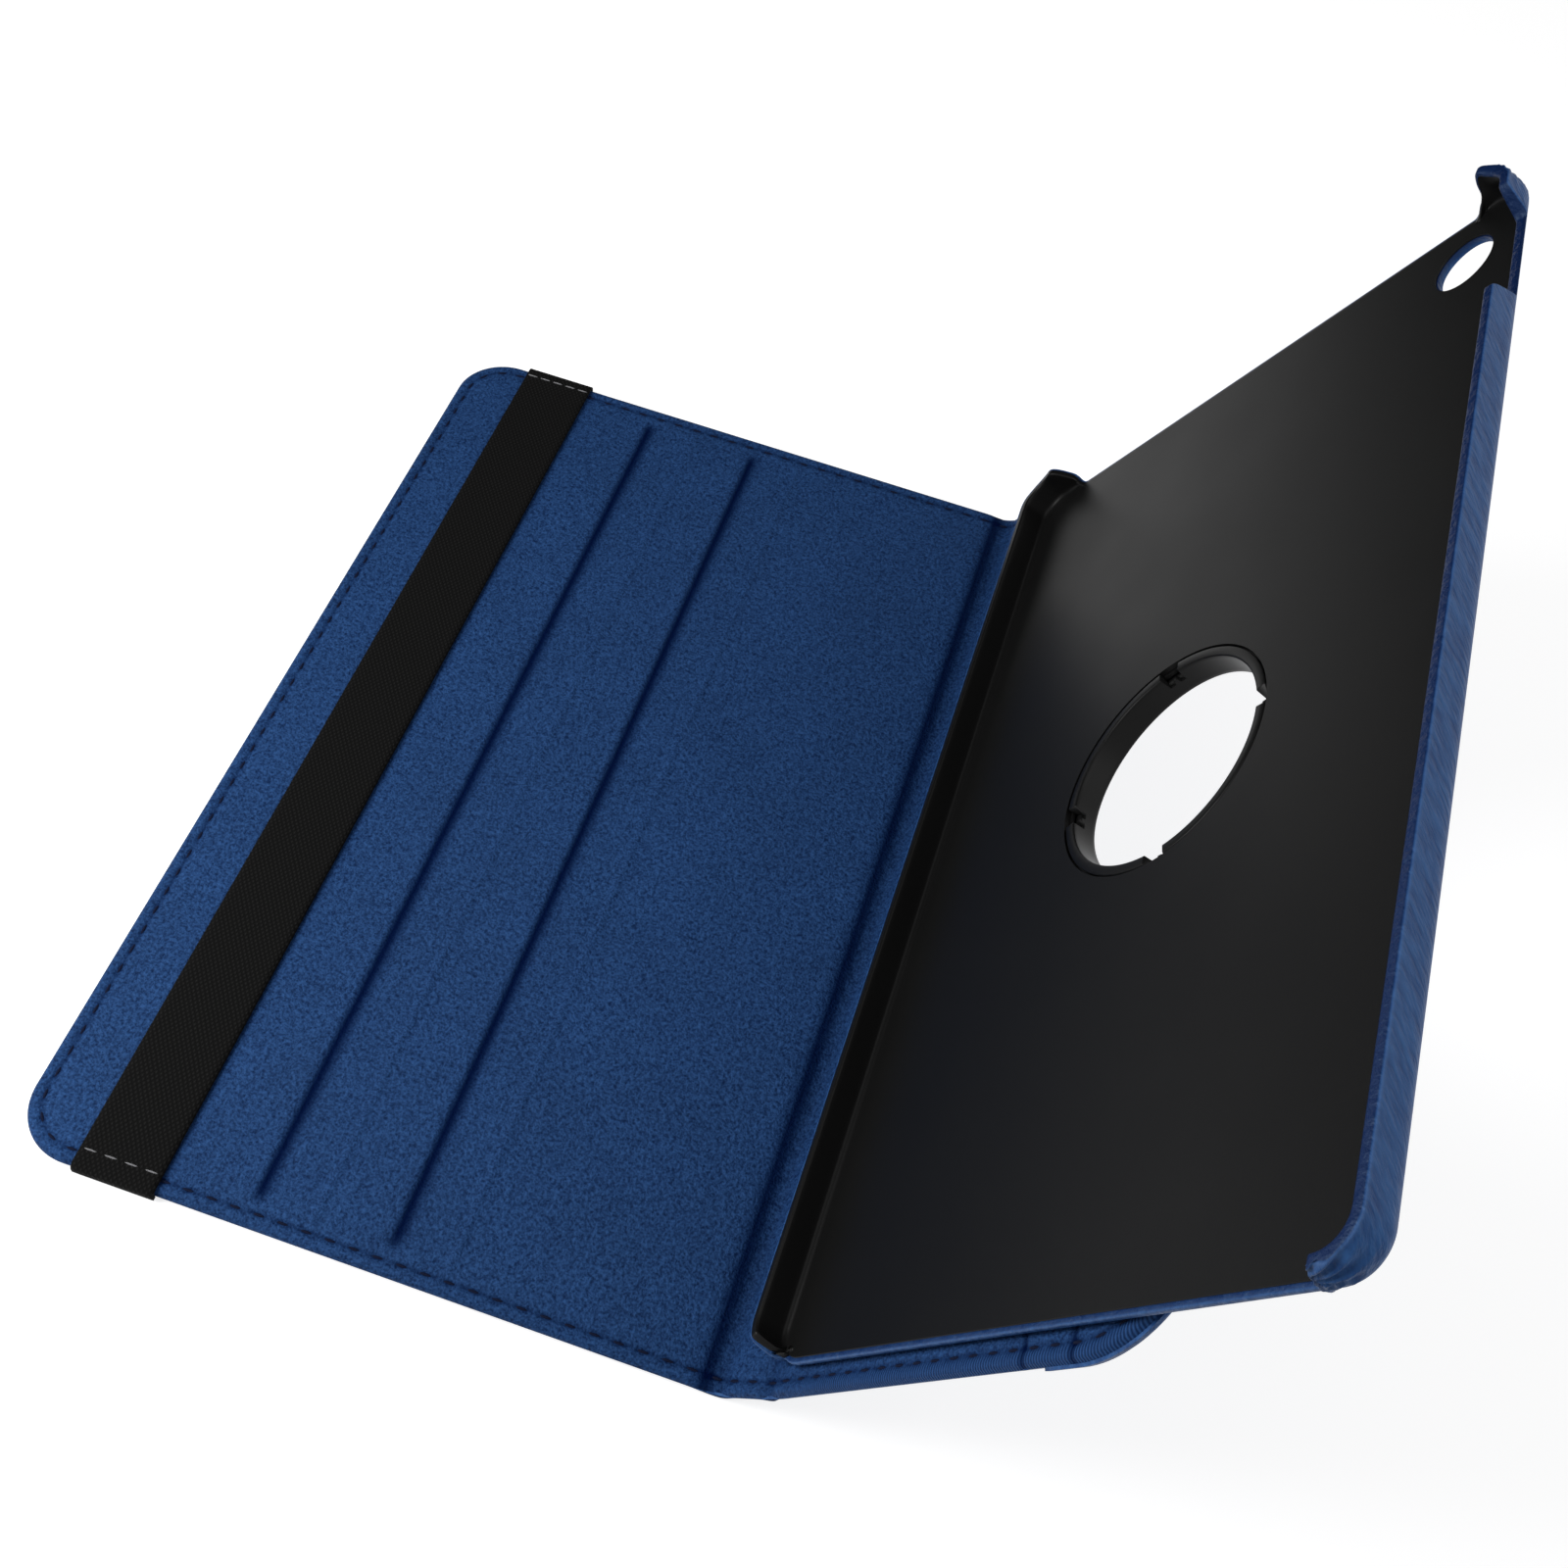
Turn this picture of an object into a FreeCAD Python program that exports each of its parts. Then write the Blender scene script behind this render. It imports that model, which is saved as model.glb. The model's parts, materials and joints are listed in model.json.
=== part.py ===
import FreeCAD, Part
import math
import os
import re
import Sketcher

# A rotating tablet folio: front cover, spine and back flap joined by soft folds, and a tray for the tablet
# that turns on a snap ring in the flap. Lengths are in millimetres, angles in degrees.

V = FreeCAD.Vector

DIMENSIONS = [
    ("panel_length", 258.0, "cover, spine and flap, measured along the spine"),
    ("cover_width", 160.0, "front cover, from its free edge to the cover fold"),
    ("corner_radius", 14.0, "rounded corners of the front cover"),
    ("skin_thick", 0.7, "coated outer skin"),
    ("board_thick", 1.6, "stiff board inside each panel"),
    ("lining_thick", 0.6, "suede lining"),
    ("hem_width", 3.0, "skin turned up around the boards"),
    ("lining_inset", 0.3, "bare skin left around the lining"),
    ("hinge_half", 3.0, "from a fold's axis to the stiff panel beside it"),
    ("spine_pitch", 15.0, "from the cover fold to the flap fold"),
    ("spine_angle", 47.6, "slope of the spine at rest"),
    ("flap_angle", 61.2, "slope of the flap and tray at rest"),
    ("groove_one", 56.1, "outer stand groove, from the free edge"),
    ("groove_two", 87.1, "inner stand groove, from the free edge"),
    ("groove_width", 1.8, "stand groove"),
    ("groove_depth", 0.5, "stand groove, sunk into the board"),
    ("groove_length", 251.0, "stand groove"),
    ("strip_width", 12.0, "stiffener beside each stand groove"),
    ("strip_thick", 0.8, "stiffener beside each stand groove"),
    ("strap_from_edge", 16.7, "elastic strap, from the free edge"),
    ("strap_width", 19.0, "elastic strap"),
    ("strap_thick", 0.9, "elastic strap"),
    ("strap_tail", 0.8, "strap end, above the underside of the cover"),
    ("strap_bend", 0.8, "rounding of the strap where it turns down"),
    ("crease_reach", 80.7, "from the flap fold to the stand crease and ring axis"),
    ("flap_reach", 117.0, "from the flap fold to the end of the flap"),
    ("flap_corner", 21.0, "rounded corners of the flap's end"),
    ("disc_radius", 35.5, "round tab that carries the ring"),
    ("disc_gap", 1.0, "clearance around the round tab"),
    ("ring_bore", 25.5, "open window through the ring, radius"),
    ("ring_collar", 26.6, "outside of the snap ring's collar, radius"),
    ("ring_lip", 27.2, "snap lip that holds the tray, radius"),
    ("ring_lip_thick", 0.8, "snap lip"),
    ("ring_sleeve", 28.4, "sleeve of the rear ring, radius"),
    ("ring_flange", 33.0, "flange of the rear ring, radius"),
    ("ring_flange_thick", 0.9, "flange of the rear ring"),
    ("ring_bevel", 0.4, "broken edge of the rear ring"),
    ("ring_seat_gap", 0.05, "rear ring around the collar"),
    ("ring_clock", 10.0, "turn of the notches away from the flap's axis"),
    ("notch_width", 2.4, "notch between the snap fingers"),
    ("notch_depth", 3.2, "notch between the snap fingers"),
    ("washer_radius", 33.5, "glide washer"),
    ("washer_thick", 0.5, "glide washer"),
    ("glide_gap", 0.6, "flap lining to the back of the tray"),
    ("turn_gap", 0.1, "radial clearance of the tray on the collar"),
    ("lip_gap", 0.15, "clearance under the snap lip"),
    ("lip_sink", 0.05, "snap lip, below the tray's floor"),
    ("tray_from_hinge", 3.0, "from the flap fold to the tray's side"),
    ("tray_width", 155.4, "tray, over its skin"),
    ("tray_length", 250.8, "tray, over its skin"),
    ("tray_height", 9.6, "tray, over its skin"),
    ("tray_corner", 9.0, "rounded corners of the tray"),
    ("tray_round", 3.0, "rounded back edge of the tray"),
    ("tray_skin_thick", 0.7, "skin on the tray"),
    ("wall_thick", 1.5, "plastic walls of the tray"),
    ("floor_thick", 1.4, "plastic floor of the tray"),
    ("floor_half", 123.0, "floor's open ends, from the middle"),
    ("lip_foot", 13.0, "corner lips at the floor, from the tray's side"),
    ("lip_tip", 5.5, "corner lips at the rim, from the tray's side"),
    ("short_foot", 5.0, "short corner lip at the floor"),
    ("short_tip", 3.0, "short corner lip at the rim"),
    ("blunt_foot", 13.2, "blunt corner lip at the floor"),
    ("blunt_tip", 11.8, "blunt corner lip at the rim"),
    ("boss_radius", 34.0, "thick floor around the ring"),
    ("boss_root", 0.7, "thick floor, rooted in the tray's floor"),
    ("camera_radius", 8.1, "camera opening"),
    ("camera_side", 13.6, "camera opening, from the tray's side"),
    ("camera_end", 14.6, "camera opening, from the floor's open end"),
    ("button_near", 85.0, "button cut-out at the floor, nearer end"),
    ("button_far", 113.0, "button cut-out at the floor, further end"),
    ("button_slope", 3.0, "widening of the button cut-out at the rim"),
    ("overcut", 2.0, "how far a cut runs past the solid"),
]

# Levels above the middle of a panel
PANEL = "(skin_thick + board_thick + lining_thick)"
UNDERSIDE = f"-{PANEL} / 2"
BOARD_LOW = f"{UNDERSIDE} + skin_thick"
LINING_LOW = f"{PANEL} / 2 - lining_thick"
LINING_TOP = f"{PANEL} / 2"
REAR_FACE = f"{UNDERSIDE} - ring_flange_thick"
TRAY_BACK = f"{LINING_TOP} + glide_gap"
TRAY_FLOOR = f"{TRAY_BACK} + tray_skin_thick + floor_thick"
TRAY_RIM = f"{TRAY_BACK} + tray_height"
LIP_TOP = f"{TRAY_FLOOR} - lip_sink"

# Distances along the panels
HALF = "panel_length / 2"
FREE_EDGE = "-hinge_half - cover_width"
TRAY_LEFT = "tray_from_hinge"
TRAY_RIGHT = "tray_from_hinge + tray_width"
BAY_WALL = "(wall_thick + tray_skin_thick)"

NOTCHES = 4
FULL_TURN = 360
LEVEL_TOLERANCE = 1e-3

doc = FreeCAD.newDocument("RotatingFolio")
sheet = doc.addObject("Spreadsheet::Sheet", "Dims")
pieces = []


def fill_sheet():
    """One row for each driving dimension: its name, its value under that alias, and its meaning."""
    for row, (alias, number, meaning) in enumerate(DIMENSIONS, start=1):
        sheet.set(f"A{row}", alias)
        sheet.set(f"B{row}", str(number))
        sheet.setAlias(f"B{row}", alias)
        sheet.set(f"C{row}", meaning)
    doc.recompute()


def size(formula):
    """The number that a formula of sheet names stands for."""
    return float(sheet.evalExpression(formula))


def bind(owner, path, formula):
    """Tie one property to a formula of sheet names."""
    owner.setExpression(path, re.sub(r"\b[a-z]\w*\b(?!\()", r"Dims.\g<0>", formula))


def new_body(label):
    """An empty body that may hold more than one solid."""
    body = doc.addObject("PartDesign::Body", label)
    body.AllowCompound = True
    return body


def place(piece, frame):
    """Give a finished sub-part its place in the assembly."""
    piece.Placement = frame
    pieces.append(piece)
    return piece


def new_sketch(body, name, plane, offset, turn="0"):
    """An empty sketch on one of the body's origin planes, moved along and turned about its normal."""
    sketch = body.newObject("Sketcher::SketchObject", name)
    origin_plane = next(f for f in body.Origin.OriginFeatures if f.Role == plane)
    sketch.AttachmentSupport = (origin_plane, [""])
    sketch.MapMode = "FlatFace"
    about_normal = FreeCAD.Rotation(V(0, 0, 1), size(turn))
    sketch.AttachmentOffset = FreeCAD.Placement(V(0, 0, size(offset)), about_normal)
    bind(sketch, "AttachmentOffset.Base.z", offset)
    if turn != "0":
        bind(sketch, "AttachmentOffset.Rotation.Angle", turn)
    return sketch


def pin_point(sketch, geometry, point, x, y):
    """Hold one point of a sketch at two formulas from the sketch's origin."""
    for kind, formula in (("DistanceX", x), ("DistanceY", y)):
        index = sketch.addConstraint(Sketcher.Constraint(kind, -1, 1, geometry, point, size(formula)))
        bind(sketch, f"Constraints[{index}]", formula)


def polygon(body, name, plane, offset, corners, turn="0"):
    """A closed outline through corners that are given as pairs of formulas."""
    sketch = new_sketch(body, name, plane, offset, turn)
    points = [V(size(x), size(y), 0) for x, y in corners]
    following = points[1:] + points[:1]
    for start, end in zip(points, following):
        sketch.addGeometry(Part.LineSegment(start, end))
    for line in range(len(points)):
        next_line = (line + 1) % len(points)
        sketch.addConstraint(Sketcher.Constraint("Coincident", line, 2, next_line, 1))
    for line, (x, y) in enumerate(corners):
        pin_point(sketch, line, 1, x, y)
    return sketch


def circle(body, name, plane, offset, x, y, radius):
    """A circle whose centre and radius are formulas."""
    sketch = new_sketch(body, name, plane, offset)
    sketch.addGeometry(Part.Circle(V(size(x), size(y), 0), V(0, 0, 1), size(radius)))
    pin_point(sketch, 0, 3, x, y)
    index = sketch.addConstraint(Sketcher.Constraint("Radius", 0, size(radius)))
    bind(sketch, f"Constraints[{index}]", radius)
    return sketch


def rectangle(low_x, low_y, high_x, high_y):
    """The corners of an upright rectangle."""
    return [(low_x, low_y), (high_x, low_y), (high_x, high_y), (low_x, high_y)]


def rounded_panel(body, name, level, low_x, high_x, half, low_radius="0", high_radius="0"):
    """A level rectangle about the middle line, with its own corner radius at each end."""
    if low_radius == "0" and high_radius == "0":
        return polygon(body, name, "XY_Plane", level, rectangle(low_x, f"-({half})", high_x, half))
    sketch = new_sketch(body, name, "XY_Plane", level)
    turns = [
        (low_x, f"-({half})", 1, 1, low_radius),
        (high_x, f"-({half})", -1, 1, high_radius),
        (high_x, half, -1, -1, high_radius),
        (low_x, half, 1, -1, low_radius),
    ]
    stops = []
    for quarter, (x, y, inward_x, inward_y, radius) in enumerate(turns):
        beside = (f"{x} + {inward_x} * ({radius})", y)
        above = (x, f"{y} + {inward_y} * ({radius})")
        first, second = (above, beside) if quarter % 2 == 0 else (beside, above)
        if radius == "0":
            stops.append((first, second, None))
            continue
        centre = V(size(beside[0]), size(above[1]), 0)
        angle = math.radians(180 + 90 * quarter)
        round_edge = Part.Circle(centre, V(0, 0, 1), size(radius))
        arc = sketch.addGeometry(Part.ArcOfCircle(round_edge, angle, angle + math.pi / 2))
        pin_point(sketch, arc, 1, *first)
        pin_point(sketch, arc, 2, *second)
        index = sketch.addConstraint(Sketcher.Constraint("Radius", arc, size(radius)))
        bind(sketch, f"Constraints[{index}]", radius)
        stops.append((first, second, arc))
    for here, ahead in zip(stops, stops[1:] + stops[:1]):
        join_stops(sketch, here, ahead)
    return sketch


def join_stops(sketch, here, ahead):
    """A straight side from the end of one corner to the start of the next."""
    start, end = here[1], ahead[0]
    side = Part.LineSegment(V(size(start[0]), size(start[1]), 0), V(size(end[0]), size(end[1]), 0))
    line = sketch.addGeometry(side)
    for point, arc, arc_point, place_of in ((1, here[2], 2, start), (2, ahead[2], 1, end)):
        if arc is None:
            pin_point(sketch, line, point, *place_of)
        else:
            sketch.addConstraint(Sketcher.Constraint("Coincident", line, point, arc, arc_point))


def pad(body, sketch, length):
    """Extrude a sketch along its normal."""
    feature = body.newObject("PartDesign::Pad", sketch.Name + "Pad")
    feature.Profile = sketch
    bind(feature, "Length", length)
    doc.recompute()
    return feature


def pocket(body, sketch, depth, reverse=False):
    """Cut a sketch against its normal, or along it, and make sure that it takes material away."""
    before = body.Shape.Volume
    feature = body.newObject("PartDesign::Pocket", sketch.Name + "Cut")
    feature.Profile = sketch
    feature.Reversed = reverse
    bind(feature, "Length", depth)
    doc.recompute()
    if body.Shape.Volume >= before:
        raise RuntimeError(f"{feature.Name} cuts nothing")
    return feature


def revolve(body, sketch, axis, angle):
    """Turn a sketch about one of its own axes."""
    feature = body.newObject("PartDesign::Revolution", sketch.Name + "Turn")
    feature.Profile = sketch
    feature.ReferenceAxis = (sketch, [axis])
    bind(feature, "Angle", angle)
    doc.recompute()
    return feature


def fillet(body, radius, wanted):
    """Round the edges of a body that a test picks."""
    base = body.Tip
    edges = [f"Edge{i}" for i, edge in enumerate(base.Shape.Edges, start=1) if wanted(edge)]
    feature = body.newObject("PartDesign::Fillet", base.Name + "Round")
    feature.Base = (base, edges)
    bind(feature, "Radius", radius)
    doc.recompute()
    return feature


def all_round(body, feature, count):
    """Repeat a feature evenly in a full turn about the body's upright axis."""
    pattern = body.newObject("PartDesign::PolarPattern", feature.Name + "Round")
    pattern.Originals = [feature]
    upright = next(f for f in body.Origin.OriginFeatures if f.Role == "Z_Axis")
    pattern.Axis = (upright, [""])
    pattern.Angle = FULL_TURN
    pattern.Occurrences = count
    body.Tip = pattern
    doc.recompute()
    return pattern


def at_level(z):
    """Picks the edges that lie level at z."""
    def wanted(edge):
        box = edge.BoundBox
        lowest, highest = box.ZMin - size(z), box.ZMax - size(z)
        return abs(lowest) < LEVEL_TOLERANCE and abs(highest) < LEVEL_TOLERANCE
    return wanted


def tilted(angle):
    """A turn about the fold axis that raises the far side."""
    return FreeCAD.Placement(V(), FreeCAD.Rotation(V(0, -1, 0), angle))


def cover_frame():
    """The cover fold's axis. The part's origin is the middle of the cover's underside."""
    fold = V(size("cover_width / 2 + hinge_half"), 0, size(LINING_TOP))
    return FreeCAD.Placement(fold, FreeCAD.Rotation())


def spine_frame(from_hinge=0.0):
    """The spine's frame at rest, moved along the spine from the cover fold's axis."""
    along = FreeCAD.Placement(V(from_hinge, 0, 0), FreeCAD.Rotation())
    return cover_frame().multiply(tilted(size("spine_angle"))).multiply(along)


def flap_frame(from_hinge=0.0, turn=0.0):
    """The flap's frame at rest, moved along the flap and turned about its normal."""
    flap = spine_frame(size("spine_pitch")).multiply(tilted(size("flap_angle - spine_angle")))
    return flap.multiply(FreeCAD.Placement(V(from_hinge, 0, 0), FreeCAD.Rotation(V(0, 0, 1), turn)))


def plate(label, low_x, high_x, half, level, thick, low_radius="0", high_radius="0"):
    """A flat sheet between two distances from the fold, as wide as half to each side."""
    body = new_body(label)
    outline = rounded_panel(body, label + "Outline", level, low_x, high_x, half, low_radius, high_radius)
    pad(body, outline, thick)
    return body


def recess(body, name, low_x, high_x, half, top, depth, low_radius="0", high_radius="0"):
    """A recess of that outline, sunk from a level."""
    return pocket(body, rounded_panel(body, name, top, low_x, high_x, half, low_radius, high_radius), depth)


def front_cover():
    """Skin turned up around a board, stiffeners beside the stand grooves, and lining."""
    stiff_end = "-hinge_half"
    skin_height = "skin_thick + board_thick"
    skin = plate("front_cover_skin", FREE_EDGE, stiff_end, HALF, UNDERSIDE, skin_height, "corner_radius")
    board_edge = f"{FREE_EDGE} + hem_width"
    board_half = f"{HALF} - hem_width"
    board_corner = "corner_radius - hem_width"
    recess(skin, "CoverRecess", board_edge, stiff_end, board_half, LINING_LOW, "board_thick", board_corner)
    board = plate("front_cover_board", board_edge, stiff_end, board_half, BOARD_LOW, "board_thick",
                  board_corner)
    lining_edge = f"{FREE_EDGE} + lining_inset"
    lining_half = f"{HALF} - lining_inset"
    lining_corner = "corner_radius - lining_inset"
    lining = plate("front_cover_lining", lining_edge, stiff_end, lining_half, LINING_LOW, "lining_thick",
                   lining_corner)
    for groove in ("groove_one", "groove_two"):
        groove_low = f"{FREE_EDGE} + {groove} - groove_width / 2"
        groove_high = f"{FREE_EDGE} + {groove} + groove_width / 2"
        strip_high = f"{groove_high} + strip_width"
        half = "groove_length / 2"
        recess(lining, groove + "_opening", groove_low, groove_high, half, LINING_TOP, "lining_thick")
        recess(board, groove + "_channel", groove_low, groove_high, half, LINING_LOW, "groove_depth")
        recess(board, groove + "_seat", groove_high, strip_high, half, LINING_LOW, "strip_thick")
        strip_label = groove.replace("groove", "stand_strip")
        strip_low = f"{LINING_LOW} - strip_thick"
        place(plate(strip_label, groove_high, strip_high, half, strip_low, "strip_thick"), cover_frame())
    for body in (skin, board, lining):
        place(body, cover_frame())


def elastic_strap():
    """A woven band over the lining, turned down over both ends of the cover."""
    body = new_body("elastic_strap")
    outer = f"({HALF} + strap_thick)"
    top = f"{LINING_TOP} + strap_thick"
    tail = f"{UNDERSIDE} + strap_tail"
    corners = [(f"-{outer}", tail), (f"-{outer}", top), (outer, top), (outer, tail)]
    corners += [(HALF, tail), (HALF, LINING_TOP), (f"-{HALF}", LINING_TOP), (f"-{HALF}", tail)]
    profile = polygon(body, "StrapProfile", "YZ_Plane", f"{FREE_EDGE} + strap_from_edge", corners)
    pad(body, profile, "strap_width")

    def turned_edge(edge):
        middle = edge.CenterOfMass
        across = edge.BoundBox.XLength > size("strap_width") / 2
        return across and middle.z > size(LINING_TOP) and abs(middle.y) > size(HALF)

    fillet(body, "strap_bend", turned_edge)
    place(body, cover_frame())


def spine():
    """The narrow back of the closed folio: skin, board and lining between the two folds."""
    low, high = "hinge_half", "spine_pitch - hinge_half"
    board_half = f"{HALF} - hem_width"
    skin = plate("spine_skin", low, high, HALF, UNDERSIDE, "skin_thick + board_thick")
    recess(skin, "SpineRecess", low, high, board_half, LINING_LOW, "board_thick")
    place(skin, spine_frame())
    place(plate("spine_board", low, high, board_half, BOARD_LOW, "board_thick"), spine_frame())
    lining_half = f"{HALF} - lining_inset"
    place(plate("spine_lining", low, high, lining_half, LINING_LOW, "lining_thick"), spine_frame())


def fold_strips(prefix, frame, bend):
    """The soft skin and lining across a fold: two flat wings, and on the outside a round bend."""
    skin = new_body(prefix + "_skin")
    start = f"-{HALF}"
    wing = rectangle("-hinge_half", UNDERSIDE, "0", BOARD_LOW)
    pad(skin, polygon(skin, prefix + "SkinNear", "XZ_Plane", start, wing), "panel_length")
    bend_section = rectangle(f"-({HALF})", UNDERSIDE, HALF, BOARD_LOW)
    bend_sketch = polygon(skin, prefix + "SkinBend", "YZ_Plane", "0", bend_section)
    revolve(skin, bend_sketch, "H_Axis", bend).Reversed = True
    wing = rectangle("0", UNDERSIDE, "hinge_half", BOARD_LOW)
    pad(skin, polygon(skin, prefix + "SkinFar", "XZ_Plane", start, wing, bend), "panel_length")
    place(skin, frame)

    lining = new_body(prefix + "_lining")
    mitre_low = f"({LINING_LOW}) * tan({bend} / 2)"
    mitre_top = f"({LINING_TOP}) * tan({bend} / 2)"
    lining_start = f"-{HALF} + lining_inset"
    length = "panel_length - 2 * lining_inset"
    near = [("-hinge_half", LINING_LOW), (f"-{mitre_low}", LINING_LOW)]
    near += [(f"-{mitre_top}", LINING_TOP), ("-hinge_half", LINING_TOP)]
    pad(lining, polygon(lining, prefix + "LiningNear", "XZ_Plane", lining_start, near), length)
    far = [(mitre_low, LINING_LOW), ("hinge_half", LINING_LOW)]
    far += [("hinge_half", LINING_TOP), (mitre_top, LINING_TOP)]
    pad(lining, polygon(lining, prefix + "LiningFar", "XZ_Plane", lining_start, far, bend), length)
    place(lining, frame)


def flap_leg():
    """The half of the flap beside the spine, with a half-round notch for the ring's tab."""
    low, high = "hinge_half", "crease_reach - hinge_half"
    board_half = f"{HALF} - hem_width"
    skin = plate("leg_skin", low, high, HALF, UNDERSIDE, "skin_thick + board_thick")
    recess(skin, "LegRecess", low, high, board_half, LINING_LOW, "board_thick")
    board = plate("leg_board", low, high, board_half, BOARD_LOW, "board_thick")
    lining = plate("leg_lining", low, high, f"{HALF} - lining_inset", LINING_LOW, "lining_thick")
    for body in (skin, board, lining):
        notch_radius = "disc_radius + disc_gap"
        notch = circle(body, body.Name + "Notch", "XY_Plane", LINING_TOP, "crease_reach", "0", notch_radius)
        pocket(body, notch, PANEL)
        place(body, flap_frame())


def stand_crease():
    """The soft line across the flap's middle, on either side of the ring's tab."""
    low, high = "crease_reach - hinge_half", "crease_reach + hinge_half"
    skin = plate("crease_skin", low, high, HALF, UNDERSIDE, "skin_thick")
    lining = plate("crease_lining", low, high, f"{HALF} - lining_inset", LINING_LOW, "lining_thick")
    for body in (skin, lining):
        gap_half = "disc_radius + disc_gap"
        recess(body, body.Name + "Gap", low, high, gap_half, LINING_TOP, PANEL)
        place(body, flap_frame())


def flap_end():
    """The outer half of the flap, stiff around the round tab that carries the ring."""
    low = "crease_reach + hinge_half"
    layers = [
        ("flap_end_skin", "0", UNDERSIDE, "skin_thick + board_thick"),
        ("flap_end_board", "hem_width", BOARD_LOW, "board_thick"),
        ("flap_end_lining", "lining_inset", LINING_LOW, "lining_thick"),
    ]
    for label, inset, level, thick in layers:
        high = f"flap_reach - {inset}"
        half = f"{HALF} - {inset}"
        body = plate(label, low, high, half, level, thick, high_radius=f"flap_corner - {inset}")
        tab = circle(body, label + "Tab", "XY_Plane", level, "crease_reach", "0", f"disc_radius - {inset}")
        pad(body, tab, thick)
        if label == "flap_end_skin":
            hollow_flap_end(body, low)
        window = circle(body, label + "Window", "XY_Plane", LINING_TOP, "crease_reach", "0", "ring_sleeve")
        pocket(body, window, PANEL)
        place(body, flap_frame())


def hollow_flap_end(skin, low):
    """Recess for the flap end's board, inside the turned-up skin."""
    high = "flap_reach - hem_width"
    half = f"{HALF} - hem_width"
    corner = "flap_corner - hem_width"
    recess(skin, "FlapEndRecess", low, high, half, LINING_LOW, "board_thick", high_radius=corner)
    tab = circle(skin, "TabRecess", "XY_Plane", LINING_LOW, "crease_reach", "0", "disc_radius - hem_width")
    pocket(skin, tab, "board_thick")


def ring():
    """Snap ring with notched fingers, rear ring behind the flap, and the washer under the tray."""
    frame = flap_frame(size("crease_reach"), size("ring_clock"))
    snap = new_body("snap_ring")
    lip_low = f"{LIP_TOP} - ring_lip_thick"
    profile = [("ring_bore", REAR_FACE), ("ring_collar", REAR_FACE), ("ring_collar", lip_low)]
    profile += [("ring_lip", lip_low), ("ring_lip", LIP_TOP), ("ring_bore", LIP_TOP)]
    revolve(snap, polygon(snap, "SnapProfile", "XZ_Plane", "0", profile), "V_Axis", "360")
    notch_floor, notch_top = f"{LIP_TOP} - notch_depth", f"{LIP_TOP} + overcut"
    notch = rectangle("-notch_width / 2", notch_floor, "notch_width / 2", notch_top)
    notch_sketch = polygon(snap, "NotchProfile", "YZ_Plane", "ring_lip + overcut", notch)
    all_round(snap, pocket(snap, notch_sketch, "ring_lip - ring_bore + 2 * overcut"), NOTCHES)
    place(snap, frame)

    rear = new_body("rear_ring")
    inner = "ring_collar + ring_seat_gap"
    profile = [(inner, REAR_FACE), ("ring_flange - ring_bevel", REAR_FACE)]
    profile += [("ring_flange", f"{REAR_FACE} + ring_bevel"), ("ring_flange", UNDERSIDE)]
    profile += [("ring_sleeve", UNDERSIDE), ("ring_sleeve", LINING_TOP), (inner, LINING_TOP)]
    revolve(rear, polygon(rear, "RearProfile", "XZ_Plane", "0", profile), "V_Axis", "360")
    place(rear, frame)

    washer = new_body("glide_washer")
    section = rectangle("ring_sleeve", LINING_TOP, "washer_radius", f"{LINING_TOP} + washer_thick")
    revolve(washer, polygon(washer, "WasherProfile", "XZ_Plane", "0", section), "V_Axis", "360")
    place(washer, frame)


def tray_form(label, inset):
    """The tray's outside, drawn in by inset, with its bay, open ends, button cut-out and camera opening."""
    body = new_body(label)
    left, right = f"{TRAY_LEFT} + {inset}", f"{TRAY_RIGHT} - {inset}"
    half = f"tray_length / 2 - {inset}"
    back = f"{TRAY_BACK} + {inset}"
    corner = f"tray_corner - {inset}"
    pad(body, rounded_panel(body, label + "Outline", back, left, right, half, corner, corner),
        f"tray_height - 2 * {inset}")
    fillet(body, f"tray_round - {inset}", at_level(back))
    bay_left, bay_right = f"{TRAY_LEFT} + {BAY_WALL}", f"{TRAY_RIGHT} - {BAY_WALL}"
    bay_half = f"tray_length / 2 - {BAY_WALL}"
    bay_corner = f"tray_corner - {BAY_WALL}"
    bay_depth = f"{TRAY_RIM} - ({TRAY_FLOOR})"
    recess(body, label + "Bay", bay_left, bay_right, bay_half, TRAY_RIM, bay_depth, bay_corner, bay_corner)
    long_lip, short_lip = ("lip_foot", "lip_tip"), ("short_foot", "short_tip")
    blunt_lip = ("blunt_foot", "blunt_tip")
    open_end(body, label + "FarEnd", inset, long_lip, long_lip, far=True)
    open_end(body, label + "NearEnd", inset, short_lip, blunt_lip, far=False)
    button_cut(body, label + "Buttons", inset)
    camera_x = f"{TRAY_RIGHT} - camera_side"
    camera_y = "floor_half - camera_end"
    lens_radius = f"camera_radius + {inset}"
    lens = circle(body, label + "Camera", "XY_Plane", TRAY_RIM, camera_x, camera_y, lens_radius)
    pocket(body, lens, "tray_height + overcut")
    return body


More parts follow.
